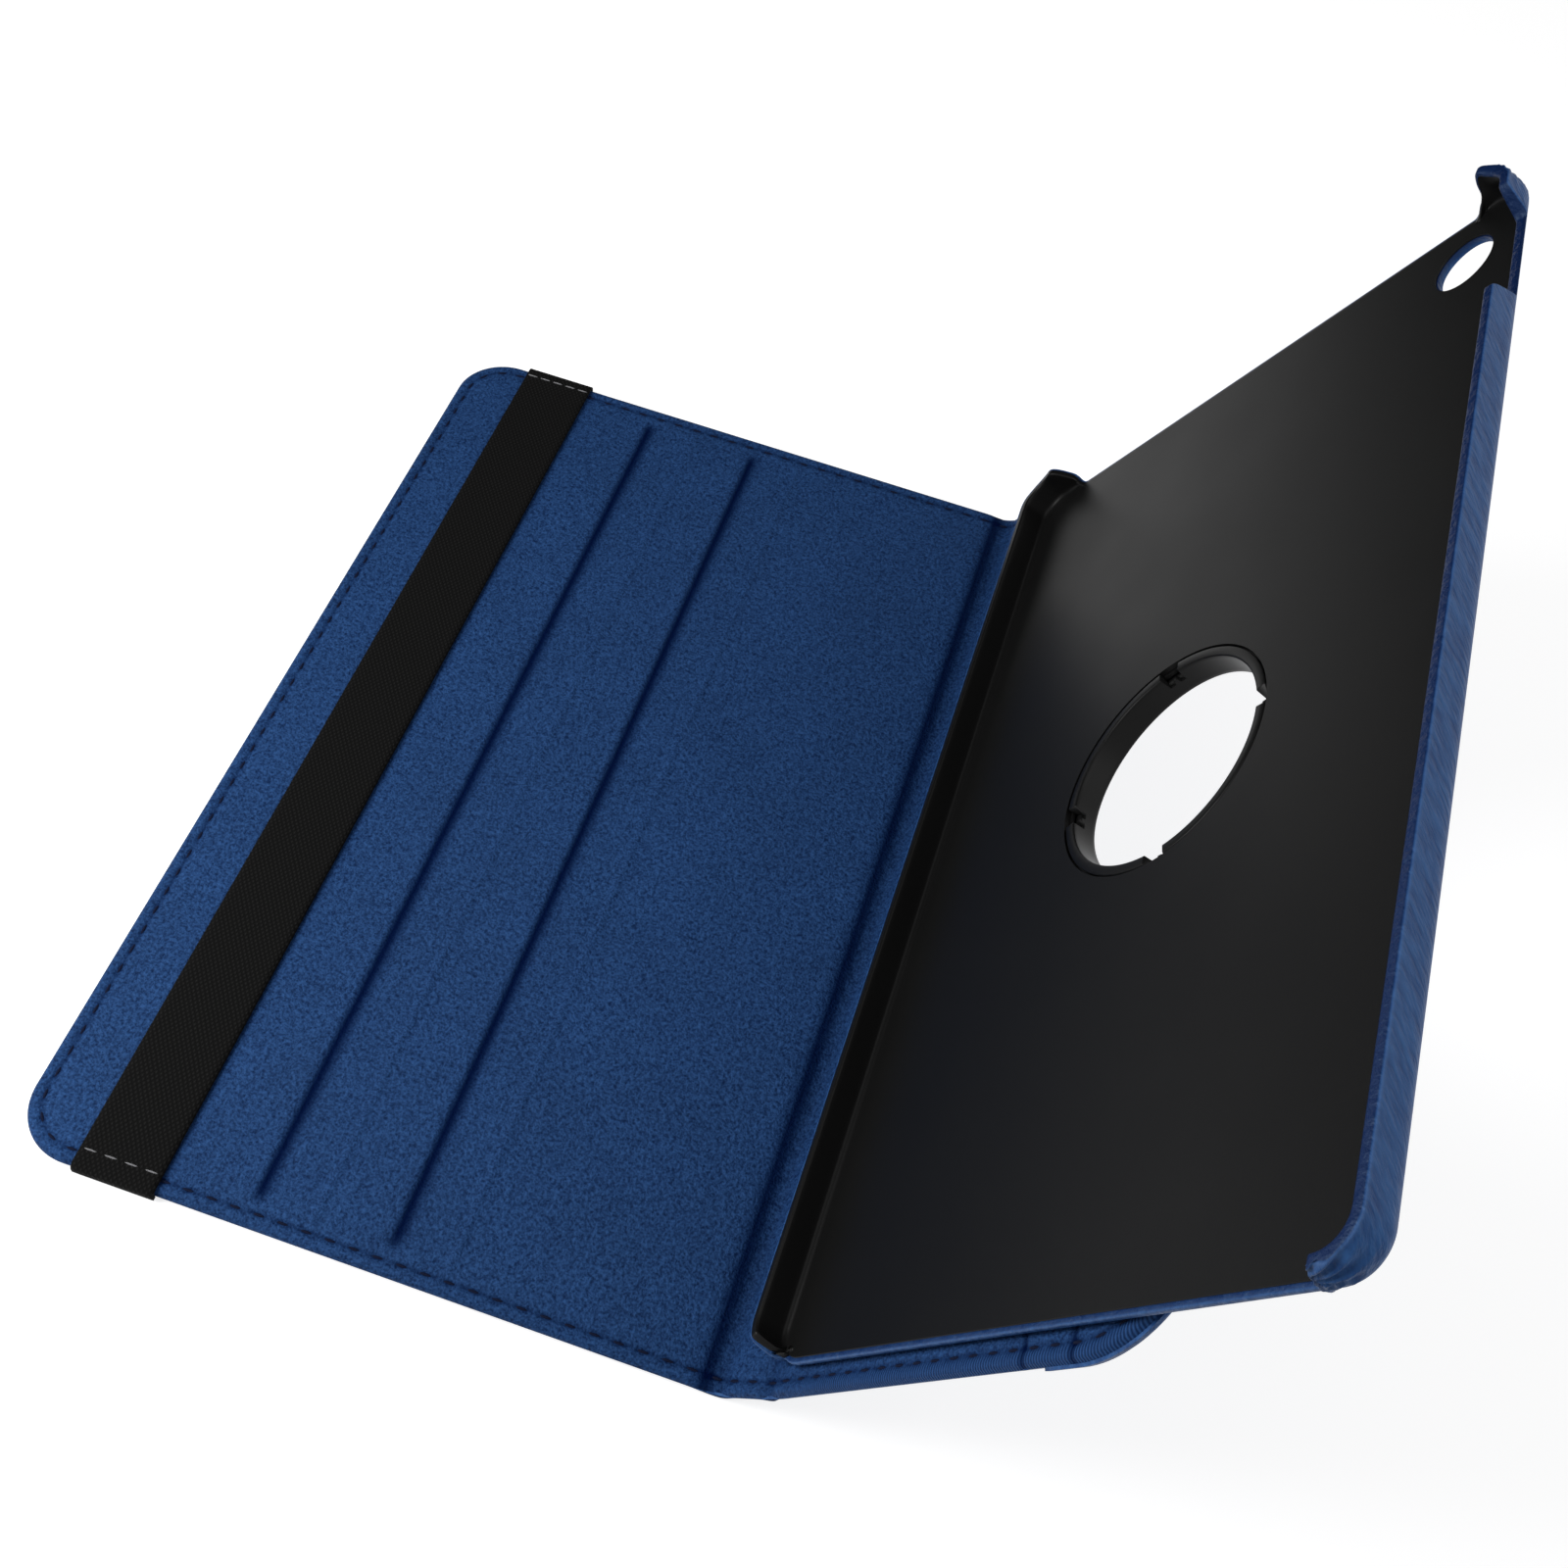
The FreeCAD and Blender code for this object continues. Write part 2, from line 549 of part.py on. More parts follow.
def open_end(body, name, inset, spine_lip, free_lip, far):
    """Open one short end of the tray between two corner lips that slope down from tip to foot."""
    low, high = f"{TRAY_BACK} - overcut", f"{TRAY_RIM} + overcut"
    foot_left, tip_left = (f"{TRAY_LEFT} + {reach} - {inset}" for reach in spine_lip)
    foot_right, tip_right = (f"{TRAY_RIGHT} - {reach} + {inset}" for reach in free_lip)
    corners = [(foot_left, low), (foot_right, low), (foot_right, TRAY_FLOOR), (tip_right, TRAY_RIM)]
    corners += [(tip_right, high), (tip_left, high), (tip_left, TRAY_RIM), (foot_left, TRAY_FLOOR)]
    floor_end = f"(floor_half - {inset})"
    offset = f"-{floor_end}" if far else floor_end
    pocket(body, polygon(body, name, "XZ_Plane", offset, corners), "tray_round + overcut", reverse=not far)


def button_cut(body, name, inset):
    """Cut the long wall down to the floor beside the camera opening."""
    near, far = f"button_near - {inset}", f"button_far + {inset}"
    high = f"{TRAY_RIM} + overcut"
    corners = [(near, TRAY_FLOOR), (far, TRAY_FLOOR), (f"{far} + button_slope", TRAY_RIM)]
    corners += [(f"{far} + button_slope", high), (f"{near} - button_slope", high)]
    corners += [(f"{near} - button_slope", TRAY_RIM)]
    profile = polygon(body, name, "YZ_Plane", f"{TRAY_RIGHT} + overcut", corners)
    pocket(body, profile, f"{BAY_WALL} + 2 * overcut")


def tray():
    """A plastic shell that clips on the snap ring, and the skin that wraps its outside and cut edges."""
    shell = tray_form("tray_shell", "tray_skin_thick")
    boss = circle(shell, "RingBoss", "XY_Plane", TRAY_BACK, "crease_reach", "0", "boss_radius")
    pad(shell, boss, "tray_skin_thick + boss_root")
    seat_depth = "lip_sink + ring_lip_thick + lip_gap"
    seat = circle(shell, "LipSeat", "XY_Plane", TRAY_FLOOR, "crease_reach", "0", "ring_lip + turn_gap")
    pocket(shell, seat, seat_depth)
    bore = circle(shell, "RingBore", "XY_Plane", TRAY_FLOOR, "crease_reach", "0", "ring_collar + turn_gap")
    pocket(shell, bore, "tray_skin_thick + floor_thick + overcut")
    place(shell, flap_frame())

    form = tray_form("tray_outside", "0")
    boss_hole = circle(form, "BossHole", "XY_Plane", TRAY_FLOOR, "crease_reach", "0", "boss_radius")
    pocket(form, boss_hole, "tray_skin_thick + floor_thick + overcut")
    form.Placement = flap_frame()
    skin = doc.addObject("Part::Cut", "tray_skin")
    skin.Base = form
    skin.Tool = shell
    pieces.append(skin)
    doc.recompute()


def check_document():
    """Stop if anything in the document failed, or a sub-part has no valid solid."""
    doc.recompute()
    for item in doc.Objects:
        if any(state in ("Invalid", "Error") for state in item.State):
            raise RuntimeError(f"{item.Name} failed")
    for piece in pieces:
        if piece.Shape.isNull() or not piece.Shape.isValid() or not piece.Shape.Solids:
            raise RuntimeError(f"{piece.Label} has no valid solid")


def export():
    """Write one file for each sub-part, named by its label."""
    os.makedirs("parts", exist_ok=True)
    for piece in pieces:
        piece.Shape.exportStep(f"parts/{piece.Label}.step")
        box = piece.Shape.BoundBox
        print(f"{piece.Label}: {len(piece.Shape.Solids)} solid, {piece.Shape.Volume:.0f} mm3, "
              f"x {box.XMin:.1f} to {box.XMax:.1f}, z {box.ZMin:.1f} to {box.ZMax:.1f}")


fill_sheet()
front_cover()
elastic_strap()
fold_strips("cover_fold", cover_frame(), "spine_angle")
spine()
fold_strips("flap_fold", spine_frame(size("spine_pitch")), "(flap_angle - spine_angle)")
flap_leg()
stand_crease()
flap_end()
ring()
tray()
check_document()
export()
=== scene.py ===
"""Looks of a turning tablet folio: suede-lined panels, an elastic strap, a snap ring and a skinned tray."""

import json
import math

import bmesh
import bpy
from bpy.props import FloatProperty, FloatVectorProperty, PointerProperty
from mathutils import Matrix, Vector, kdtree, noise
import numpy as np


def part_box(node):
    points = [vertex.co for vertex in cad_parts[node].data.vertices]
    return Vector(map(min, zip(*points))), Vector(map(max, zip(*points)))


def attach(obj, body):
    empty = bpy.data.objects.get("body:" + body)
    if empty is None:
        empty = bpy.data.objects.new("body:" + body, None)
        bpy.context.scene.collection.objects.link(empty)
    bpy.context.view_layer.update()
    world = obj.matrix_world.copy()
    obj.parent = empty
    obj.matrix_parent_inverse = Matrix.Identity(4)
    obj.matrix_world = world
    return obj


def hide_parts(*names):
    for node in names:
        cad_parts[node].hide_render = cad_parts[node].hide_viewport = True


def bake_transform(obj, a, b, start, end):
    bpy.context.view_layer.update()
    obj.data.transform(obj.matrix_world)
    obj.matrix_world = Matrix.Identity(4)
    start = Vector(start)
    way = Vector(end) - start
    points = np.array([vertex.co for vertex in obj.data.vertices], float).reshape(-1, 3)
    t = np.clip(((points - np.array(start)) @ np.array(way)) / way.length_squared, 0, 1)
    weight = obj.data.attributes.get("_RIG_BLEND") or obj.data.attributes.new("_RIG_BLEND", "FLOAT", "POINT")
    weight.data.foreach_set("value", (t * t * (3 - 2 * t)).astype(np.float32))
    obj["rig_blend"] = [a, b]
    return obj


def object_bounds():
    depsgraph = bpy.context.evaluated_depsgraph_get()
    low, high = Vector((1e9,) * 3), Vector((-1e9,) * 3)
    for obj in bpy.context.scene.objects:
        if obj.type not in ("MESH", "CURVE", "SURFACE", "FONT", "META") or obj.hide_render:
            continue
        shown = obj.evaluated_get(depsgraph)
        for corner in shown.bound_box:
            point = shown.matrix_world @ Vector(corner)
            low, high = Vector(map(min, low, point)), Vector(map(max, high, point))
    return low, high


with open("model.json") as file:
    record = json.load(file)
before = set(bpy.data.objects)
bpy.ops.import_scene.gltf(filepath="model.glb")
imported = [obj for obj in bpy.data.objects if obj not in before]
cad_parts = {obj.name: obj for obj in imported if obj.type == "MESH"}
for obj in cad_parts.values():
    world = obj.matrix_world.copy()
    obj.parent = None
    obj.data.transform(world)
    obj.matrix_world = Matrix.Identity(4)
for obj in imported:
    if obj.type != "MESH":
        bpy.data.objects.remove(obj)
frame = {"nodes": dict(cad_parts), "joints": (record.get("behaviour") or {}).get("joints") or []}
CAD_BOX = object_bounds()

bl_info = {
    "name": "Turning Tablet Folio",
    "version": (1, 0, 0),
    "blender": (4, 5, 0),
    "location": "View3D > Sidebar > Folio",
    "description": "Dresses the folio's frame in suede, leatherette, webbing, thread and moulded plastic",
    "category": "Object",
}

# Places of the frame, in metres


def joint(name):
    """One joint of the frame."""
    return next(entry for entry in frame["joints"] if entry["name"] == name)


COVER_LOW, COVER_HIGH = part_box("front_cover_skin")
COVER_FOLD = Vector(joint("cover_fold")["pos_m"])
FLAP_FOLD = Vector(joint("flap_fold")["pos_m"])
STAND_CREASE = Vector(joint("stand_crease")["pos_m"])
TRAY_NORMAL = Vector(joint("tray_turn")["axis"])
PANEL_RISE = COVER_FOLD.z
PANEL_HALF = COVER_HIGH.y
COVER_LENGTH = COVER_HIGH.x - COVER_LOW.x
HINGE_HALF = COVER_FOLD.x - COVER_HIGH.x
SPINE_RUN = FLAP_FOLD - COVER_FOLD
FLAP_RUN = STAND_CREASE - FLAP_FOLD
SPINE_ANGLE = math.atan2(SPINE_RUN.z, SPINE_RUN.x)
FLAP_ANGLE = math.atan2(FLAP_RUN.z, FLAP_RUN.x)
FLAP_ALONG = FLAP_RUN.normalized()
FLAP = Matrix.Translation(FLAP_FOLD) @ Matrix((FLAP_ALONG, (0, 1, 0), TRAY_NORMAL)).transposed().to_4x4()


def flap_box(node):
    """Lowest and highest corner of a node, measured along the flap, along the spine and out of the flap."""
    turned = [FLAP.inverted() @ vertex.co for vertex in frame["nodes"][node].data.vertices]
    return Vector(map(min, zip(*turned))), Vector(map(max, zip(*turned)))


TRAY_LOW, TRAY_HIGH = flap_box("tray_skin")
FLAP_REACH = flap_box("flap_end_skin")[1].x
RING_LOW, RING_HIGH = flap_box("snap_ring")
RING_CENTRE = Vector((FLAP_RUN.length, 0, 0))


def fold_length(turn):
    """Length of a fold's round bend, between the two panels that it joins."""
    return HINGE_HALF / math.tan(turn / 2) * turn


# Straight and bent runs of the folio's middle plane from the cover's free edge: length and turn
FOLIO_RUNS = [
    (COVER_LENGTH, 0),
    (fold_length(SPINE_ANGLE), SPINE_ANGLE),
    (SPINE_RUN.length - 2 * HINGE_HALF, 0),
    (fold_length(FLAP_ANGLE - SPINE_ANGLE), FLAP_ANGLE - SPINE_ANGLE),
    (FLAP_REACH - HINGE_HALF, 0),
]
COVER_END = COVER_LENGTH
SPINE_START = COVER_END + FOLIO_RUNS[1][0]
SPINE_END = SPINE_START + FOLIO_RUNS[2][0]
FLAP_START = SPINE_END + FOLIO_RUNS[3][0]
FOLIO_LENGTH = FLAP_START + FOLIO_RUNS[4][0]
CREASE = FLAP_START + FLAP_RUN.length - HINGE_HALF
CREASE_LOW, CREASE_HIGH = CREASE - HINGE_HALF, CREASE + HINGE_HALF
FOLD_MIDDLES = (COVER_END + SPINE_START) / 2, (SPINE_END + FLAP_START) / 2


def length(name, description, default):
    """A length in metres that a user may change."""
    return FloatProperty(name=name, description=description, default=default, unit="LENGTH", precision=5)


def colour(name, description, default):
    """A linear colour that a user may change."""
    return FloatVectorProperty(name=name, description=description, default=default, subtype="COLOR",
                               size=3, min=0, max=1)


class FolioSizes(bpy.types.PropertyGroup):
    """Sizes of the folio's soft surfaces, seams and mouldings."""
    cover_corner: length("Cover corner", "Radius of the cover's rounded corners", 0.014)
    flap_corner: length("Flap corner", "Radius of the flap's rounded corners", 0.025)
    cloth: length("Cloth", "Thickness of the lining and the skin", 0.0006)
    close_row: length("Close row", "Spacing of mesh rows at edges, folds and grooves", 0.00045)
    middle_row: length("Middle row", "Spacing of mesh rows elsewhere", 0.0015)
    edge_band: length("Edge band", "Width of the close rows along an edge", 0.006)
    seam_inset: length("Seam inset", "Edge seam, from the edge", 0.0032)
    seam_depth: length("Seam depth", "How far the seam sinks", 0.0004)
    stitch_pitch: length("Stitch pitch", "From one stitch to the next", 0.0054)
    stitch_length: length("Stitch length", "Thread seen of one stitch", 0.0030)
    thread: length("Thread", "Radius of the thread", 0.00038)
    groove_one: length("Outer groove", "Outer stand groove, from the free edge", 0.0561)
    groove_two: length("Inner groove", "Inner stand groove, from the free edge", 0.0871)
    groove_depth: length("Groove depth", "How far the lining dips into a stand groove", 0.00045)
    groove_reach: length("Groove reach", "Stand groove, from the middle to its end", 0.1245)
    strip_ridge: length("Strip ridge", "Edge of the stiffener, from its groove", 0.0135)
    rib_pitch: length("Rib pitch", "Gathers along the flap's edge", 0.0007)
    rib_band: length("Rib band", "Width of the gathers along the flap's edge", 0.0034)
    hinge_back: length("Hinge line", "Pressed line of the hinge, from the cover's end", 0.0010)
    fold_sink: length("Fold sink", "How far the lining sinks into a fold", 0.0008)
    tab_radius: length("Tab radius", "Round tab that carries the ring", 0.0355)
    tab_gap: length("Tab gap", "Clearance around the round tab", 0.001)
    window_radius: length("Window radius", "Hole in the tab, behind the ring", 0.0284)
    strap_from_edge: length("Strap place", "Elastic strap, from the free edge", 0.0167)
    strap_width: length("Strap width", "Elastic strap", 0.019)
    strap_thick: length("Strap thickness", "Elastic strap", 0.0009)
    tray_corner: length("Tray corner", "Radius of the tray's corners", 0.009)
    tray_round: length("Tray rounding", "Radius of the tray's back edge", 0.0045)
    tray_wall: length("Tray wall", "Wall of the tray with its skin", 0.0022)
    tray_floor: length("Tray floor", "Floor of the tray with its skin", 0.0021)
    end_step: length("End step", "How far the far open end stands back from the lips", 0.0024)
    near_step: length("Near end step", "How far the near open end stands back from the lips", 0.0013)
    lip_foot: length("Lip foot", "Far lip at the free side, at the floor", 0.015)
    lip_tip: length("Lip tip", "Far lip at the free side, at the rim", 0.005)
    lip_lean: length("Lip lean", "How far the head of that lip leans towards the spine", 0.0008)
    lip_rise: length("Lip rise", "How far the head of that lip stands over the rim", 0.0020)
    long_foot: length("Long lip foot", "Far lip beside the spine, at the floor", 0.0175)
    long_tip: length("Long lip tip", "Far lip beside the spine, at the rim", 0.0095)
    long_rise: length("Long lip rise", "How far the head of that lip stands over the rim", 0.0009)
    corner_dip: length("Corner dip", "How far the rim dips between that lip and the long wall", 0.0004)
    short_foot: length("Short lip foot", "Near lip beside the spine, at the floor", 0.0045)
    short_tip: length("Short lip tip", "Near lip beside the spine, at the rim", 0.0015)
    blunt_foot: length("Blunt lip foot", "Near lip at the free side, at the floor", 0.0135)
    blunt_tip: length("Blunt lip tip", "Near lip at the free side, at the rim", 0.0085)
    rim_round: length("Rim rounding", "Radius of the tray's rim", 0.0006)
    floor_hollow: length("Floor hollow", "Radius between the tray's floor and its walls", 0.0014)
    spine_wrap: length("Wrap at the spine", "Skin over the rim beside the spine", 0.0008)
    end_wrap: length("Wrap at the near end", "Skin over the near open end", 0.0014)
    cut_wrap: length("Wrap at the cut-out", "Skin turned in further over the button cut-out", 0.0010)
    pleat_height: length("Pleat height", "Gathers of the skin at a corner lip", 0.00045)
    button_near: length("Button cut-out", "Nearer end of the button cut-out", 0.085)
    button_far: length("Button cut-out end", "Further end of the button cut-out", 0.1108)
    button_slope: length("Button slope", "Widening of the button cut-out at the rim", 0.004)
    camera_radius: length("Camera opening", "Radius of the camera opening", 0.0070)
    camera_side: length("Camera side", "Camera opening, from the tray's side", 0.0160)
    camera_end: length("Camera end", "Camera opening, from the floor's open end", 0.0140)
    ring_bore: length("Ring bore", "Open window through the ring, radius", 0.0255)
    ring_collar: length("Ring collar", "Outside of the ring's collar, radius", 0.0266)
    ring_lip: length("Ring lip", "Snap lip, radius", 0.0279)
    ring_flange: length("Ring flange", "Flange behind the flap, radius", 0.033)
    ring_gap: length("Ring gap", "Gap between the snap lip and the tray's floor", 0.0004)
    notch_width: length("Notch width", "Notch between the snap fingers", 0.0048)
    notch_depth: length("Notch depth", "Notch between the snap fingers", 0.0032)
    tongue_width: length("Tongue width", "Tongue in each notch", 0.0012)
    tongue_height: length("Tongue height", "Tongue in each notch", 0.0014)


class FolioColours(bpy.types.PropertyGroup):
    """Colours of the folio's finishes."""
    suede: colour("Suede", "Nap of the lining", (0.023, 0.074, 0.215))
    suede_shade: colour("Suede shade", "Nap brushed the other way", (0.0008, 0.010, 0.050))
    # Crease: colour of the painted shade in grooves, folds, creases and along the seam, and of the painted shadow
    # beside the strap.
    crease: colour("Crease", "Nap pressed down in grooves and folds", (0.0002, 0.004, 0.030))
    skin: colour("Skin", "Coated skin", (0.026, 0.090, 0.255))
    skin_shade: colour("Skin shade", "Coated skin in its grain", (0.005, 0.033, 0.135))
    # Painted shade on the tray's rim and on the wall of the camera opening.
    painted_rim_shade: colour("Skin rim", "Coated skin stretched over a rim", (0.0015, 0.012, 0.062))
    # Painted highlight along the outer edge of the tray's rim.
    painted_rim_highlight: colour("Skin worn", "Coated skin rubbed along an edge", (0.060, 0.120, 0.270))
    thread: colour("Thread", "Thread of the edge seam", (0.001, 0.004, 0.022))
    strap: colour("Strap", "Elastic webbing", (0.0046, 0.0046, 0.0045))
    strap_thread: colour("Strap thread", "Thread of the strap's tacks", (0.22, 0.22, 0.23))
    tray: colour("Tray", "Moulded tray", (0.006, 0.006, 0.006))
    ring: colour("Ring", "Moulded rings", (0.006, 0.006, 0.006))
    board: colour("Board", "Stiff board inside the panels", (0.25, 0.24, 0.22))
    floor: colour("Floor", "Studio floor", (0.50, 0.50, 0.50))


def smooth_step(value):
    """An easy rise from 0 to 1."""
    value = min(1.0, max(0.0, value))
    return value * value * (3 - 2 * value)


def bump(offset, width):
    """A round bump of height 1 at offset 0."""
    return math.exp(-(offset / width) ** 2)


def walk(runs, travelled):
    """Place and heading after a distance along straight and bent runs from the origin."""
    along, up, heading = 0.0, 0.0, 0.0
    last = len(runs) - 1
    for number, (run, turn) in enumerate(runs):
        step = travelled if number == last else min(travelled, run)
        if turn:
            radius = run / turn
            turned = heading + turn * step / run
            along += radius * (math.sin(turned) - math.sin(heading))
            up += radius * (math.cos(heading) - math.cos(turned))
            heading = turned
        else:
            along += step * math.cos(heading)
            up += step * math.sin(heading)
        travelled -= step
        if travelled <= 0:
            break
    return along, up, heading


def folio_point(station, across, height):
    """A point at a station from the free edge, across along the spine, at a height over the middle."""
    along, up, heading = walk(FOLIO_RUNS, station)
    lift = Vector((-math.sin(heading), 0, math.cos(heading)))
    return Vector((COVER_LOW.x + along, across, PANEL_RISE + up)) + height * lift


def settings():
    """The sizes in use."""
    return bpy.context.scene.folio_sizes


def colours():
    """The colours in use."""
    return bpy.context.scene.folio_colours


# Materials
SHEEN_TINT = (0.6, 0.82, 1.0, 1)


def new_material(name):
    """A node material, its tree and its surface shader. The frame has plain materials by the bare names."""
    material = bpy.data.materials.new(f"folio_{name}")
    material.use_nodes = True
    tree = material.node_tree
    return material, tree, tree.nodes["Principled BSDF"]


def add_node(tree, kind, **inputs):
    """One node with constants on its named sockets."""
    node = tree.nodes.new(kind)
    for socket, value in inputs.items():
        node.inputs[socket.replace("_", " ")].default_value = value
    return node


def grain(tree, scale, detail=2.0, stretch=(1, 1, 1), turn=(0, 0, 0)):
    """Noise over the piece's own coordinates, longer along a turned axis whose stretch is larger."""
    place = add_node(tree, "ShaderNodeTexCoord")
    mapping = add_node(tree, "ShaderNodeMapping", Scale=stretch, Rotation=turn)
    mapping.vector_type = "TEXTURE"
    texture = add_node(tree, "ShaderNodeTexNoise", Scale=scale, Detail=detail)
    tree.links.new(place.outputs["Object"], mapping.inputs["Vector"])
    tree.links.new(mapping.outputs["Vector"], texture.inputs["Vector"])
    return texture.outputs["Fac"]


def spread(tree, factor, low, high):
    """A factor stretched so that low becomes 0 and high becomes 1."""
    node = add_node(tree, "ShaderNodeMapRange", From_Min=low, From_Max=high)
    tree.links.new(factor, node.inputs["Value"])
    return node.outputs["Result"]


def mixed(tree, factor, first, second, blend="MIX"):
    """A colour mixed from two colours or colour sockets."""
    node = tree.nodes.new("ShaderNodeMix")
    node.data_type = "RGBA"
    node.blend_type = blend
    sockets = [s for s in node.inputs if s.enabled]
    for socket, value in zip(sockets, (factor, first, second)):
        if isinstance(value, bpy.types.NodeSocket):
            tree.links.new(value, socket)
        elif isinstance(value, (int, float)):
            socket.default_value = value
        else:
            socket.default_value = (*value, 1)
    return next(s for s in node.outputs if s.enabled)


def roughen(tree, shader, height, strength, distance):
    """Bump on a shader from a height socket."""
    node = add_node(tree, "ShaderNodeBump", Strength=strength, Distance=distance)
    tree.links.new(height, node.inputs["Height"])
    tree.links.new(node.outputs["Normal"], shader.inputs["Normal"])


def attribute(tree, name):
    """A value that the mesh carries for each of its points."""
    node = tree.nodes.new("ShaderNodeAttribute")
    node.attribute_name = name
    return node.outputs["Fac"]


def ribs(tree):
    """Fine ribs across the flap's edge."""
    place = add_node(tree, "ShaderNodeTexCoord")
    mapping = add_node(tree, "ShaderNodeMapping", Rotation=(0, FLAP_ANGLE, 0))
    wave = add_node(tree, "ShaderNodeTexWave", Scale=math.pi / (10 * settings().rib_pitch), Distortion=1.5)
    tree.links.new(place.outputs["Object"], mapping.inputs["Vector"])
    tree.links.new(mapping.outputs["Vector"], wave.inputs["Vector"])
    return wave.outputs["Fac"]


def suede_material():
    """Napped lining: fibres and tufts over soft mottling, with painted shade in grooves, folds, creases and along the
    seam, and a painted shadow beside the strap.
    """
    material, tree, shader = new_material("suede_lining")
    tones = colours()
    fibre = spread(tree, grain(tree, scale=1900), low=0.34, high=0.66)
    tuft = spread(tree, grain(tree, scale=1000), low=0.34, high=0.66)
    mottle = spread(tree, grain(tree, scale=45), low=0.3, high=0.7)
    nap = mixed(tree, 0.4, fibre, tuft)
    nap = mixed(tree, attribute(tree, "ribbed"), nap, ribs(tree))
    base = mixed(tree, nap, tones.suede_shade, tones.suede)
    soft = mixed(tree, mottle, (0.93, 0.93, 0.93), (1.06, 1.06, 1.06))
    brushed = mixed(tree, 1.0, base, soft, "MULTIPLY")
    # Painted shade: the lining darkens towards the crease colour where grooves, folds, creases and the seam would lie
    # in shade, and beside the strap as a painted shadow; the specular level drops there too.
    shade_mask = attribute(tree, "painted_shade")
    painted_shade = mixed(tree, shade_mask, brushed, tones.crease)
    tree.links.new(painted_shade, shader.inputs["Base Color"])
    sheen = add_node(tree, "ShaderNodeMapRange", To_Min=0.14, To_Max=0.02)
    tree.links.new(shade_mask, sheen.inputs["Value"])
    tree.links.new(sheen.outputs["Result"], shader.inputs["Specular IOR Level"])
    shader.inputs["Roughness"].default_value = 0.65
    shader.inputs["Specular Tint"].default_value = SHEEN_TINT
    roughen(tree, shader, nap, strength=0.6, distance=0.0004)
    return material


def skin_material():
    """Coated skin with a slanted grain, painted shade on the tray's rim and on the camera opening's wall, and a
    painted highlight along the rim's outer edge.
    """
    material, tree, shader = new_material("pu_skin")
    tones = colours()
    slow = (Vector((0, -1, 0)) - TRAY_NORMAL).normalized()
    turn = Matrix((slow.cross(FLAP_ALONG), slow, FLAP_ALONG)).transposed().to_euler()
    grooved = grain(tree, 900, detail=3.0, stretch=(1, 4.5, 1.5), turn=turn)
    slant = spread(tree, grooved, low=0.3, high=0.7)
    pebble = grain(tree, scale=1500)
    base = mixed(tree, slant, tones.skin_shade, tones.skin)
    # Painted shade on the rim's top and on the camera opening's wall.
    rim_shaded = mixed(tree, attribute(tree, "painted_shade"), base, tones.painted_rim_shade)
    # Painted highlight along the rim's outer edge.
    rim_highlighted = mixed(tree, attribute(tree, "rim_highlight"), rim_shaded, tones.painted_rim_highlight)
    tree.links.new(rim_highlighted, shader.inputs["Base Color"])
    shader.inputs["Roughness"].default_value = 0.5
    shader.inputs["Specular IOR Level"].default_value = 0.3
    shader.inputs["Specular Tint"].default_value = SHEEN_TINT
    height = mixed(tree, 0.3, slant, pebble)
    roughen(tree, shader, height, strength=0.8, distance=0.0004)
    return material


def plastic_material(name, tone, roughness):
    """Moulded plastic with a fine satin texture."""
    material, tree, shader = new_material(name)
    fine = grain(tree, scale=2600)
    patch = spread(tree, grain(tree, scale=40), low=0.2, high=0.8)
    shader.inputs["Base Color"].default_value = (*tone, 1)
    shade = add_node(tree, "ShaderNodeMapRange", To_Min=roughness - 0.03, To_Max=roughness + 0.04)
    tree.links.new(patch, shade.inputs["Value"])
    tree.links.new(shade.outputs["Result"], shader.inputs["Roughness"])
    shader.inputs["Specular IOR Level"].default_value = 0.11
    roughen(tree, shader, fine, strength=0.12, distance=0.0001)
    return material


def webbing_material():
    """Elastic webbing: a fine slanted twill, read along the strap's own map."""
    material, tree, shader = new_material("strap_webbing")
    place = tree.nodes.new("ShaderNodeUVMap")
    waves = []
    for turn in (0.62, -0.62):
        mapping = add_node(tree, "ShaderNodeMapping", Rotation=(0, 0, turn))
        wave = add_node(tree, "ShaderNodeTexWave", Scale=330.0, Distortion=0.6, Detail=1.0)
        tree.links.new(place.outputs["UV"], mapping.inputs["Vector"])
        tree.links.new(mapping.outputs["Vector"], wave.inputs["Vector"])
        waves.append(wave.outputs["Fac"])
    woven = mixed(tree, 1.0, *waves, "MULTIPLY")
    tone = colours().strap
    base = mixed(tree, woven, [0.4 * part for part in tone], [2.2 * part for part in tone])
    tree.links.new(base, shader.inputs["Base Color"])
    shader.inputs["Roughness"].default_value = 0.9
    shader.inputs["Specular IOR Level"].default_value = 0.1
    roughen(tree, shader, woven, strength=0.6, distance=0.0003)
    return material


def thread_material(name, tone):
    """Twisted sewing thread."""
    material, tree, shader = new_material(name)
    twist = spread(tree, grain(tree, scale=3000), low=0.35, high=0.65)
    base = mixed(tree, twist, [0.7 * part for part in tone], tone)
    tree.links.new(base, shader.inputs["Base Color"])
    shader.inputs["Roughness"].default_value = 0.8
    shader.inputs["Specular IOR Level"].default_value = 0.15
    roughen(tree, shader, twist, strength=0.4, distance=0.0001)
    return material


def board_material():
    """Grey fibre board."""
    material, tree, shader = new_material("panel_board")
    fibre = spread(tree, grain(tree, 800, detail=4.0, stretch=(1, 0.3, 1)), low=0.3, high=0.7)
    tone = colours().board
    base = mixed(tree, fibre, [0.75 * part for part in tone], tone)
    tree.links.new(base, shader.inputs["Base Color"])
    shader.inputs["Roughness"].default_value = 0.9
    return material


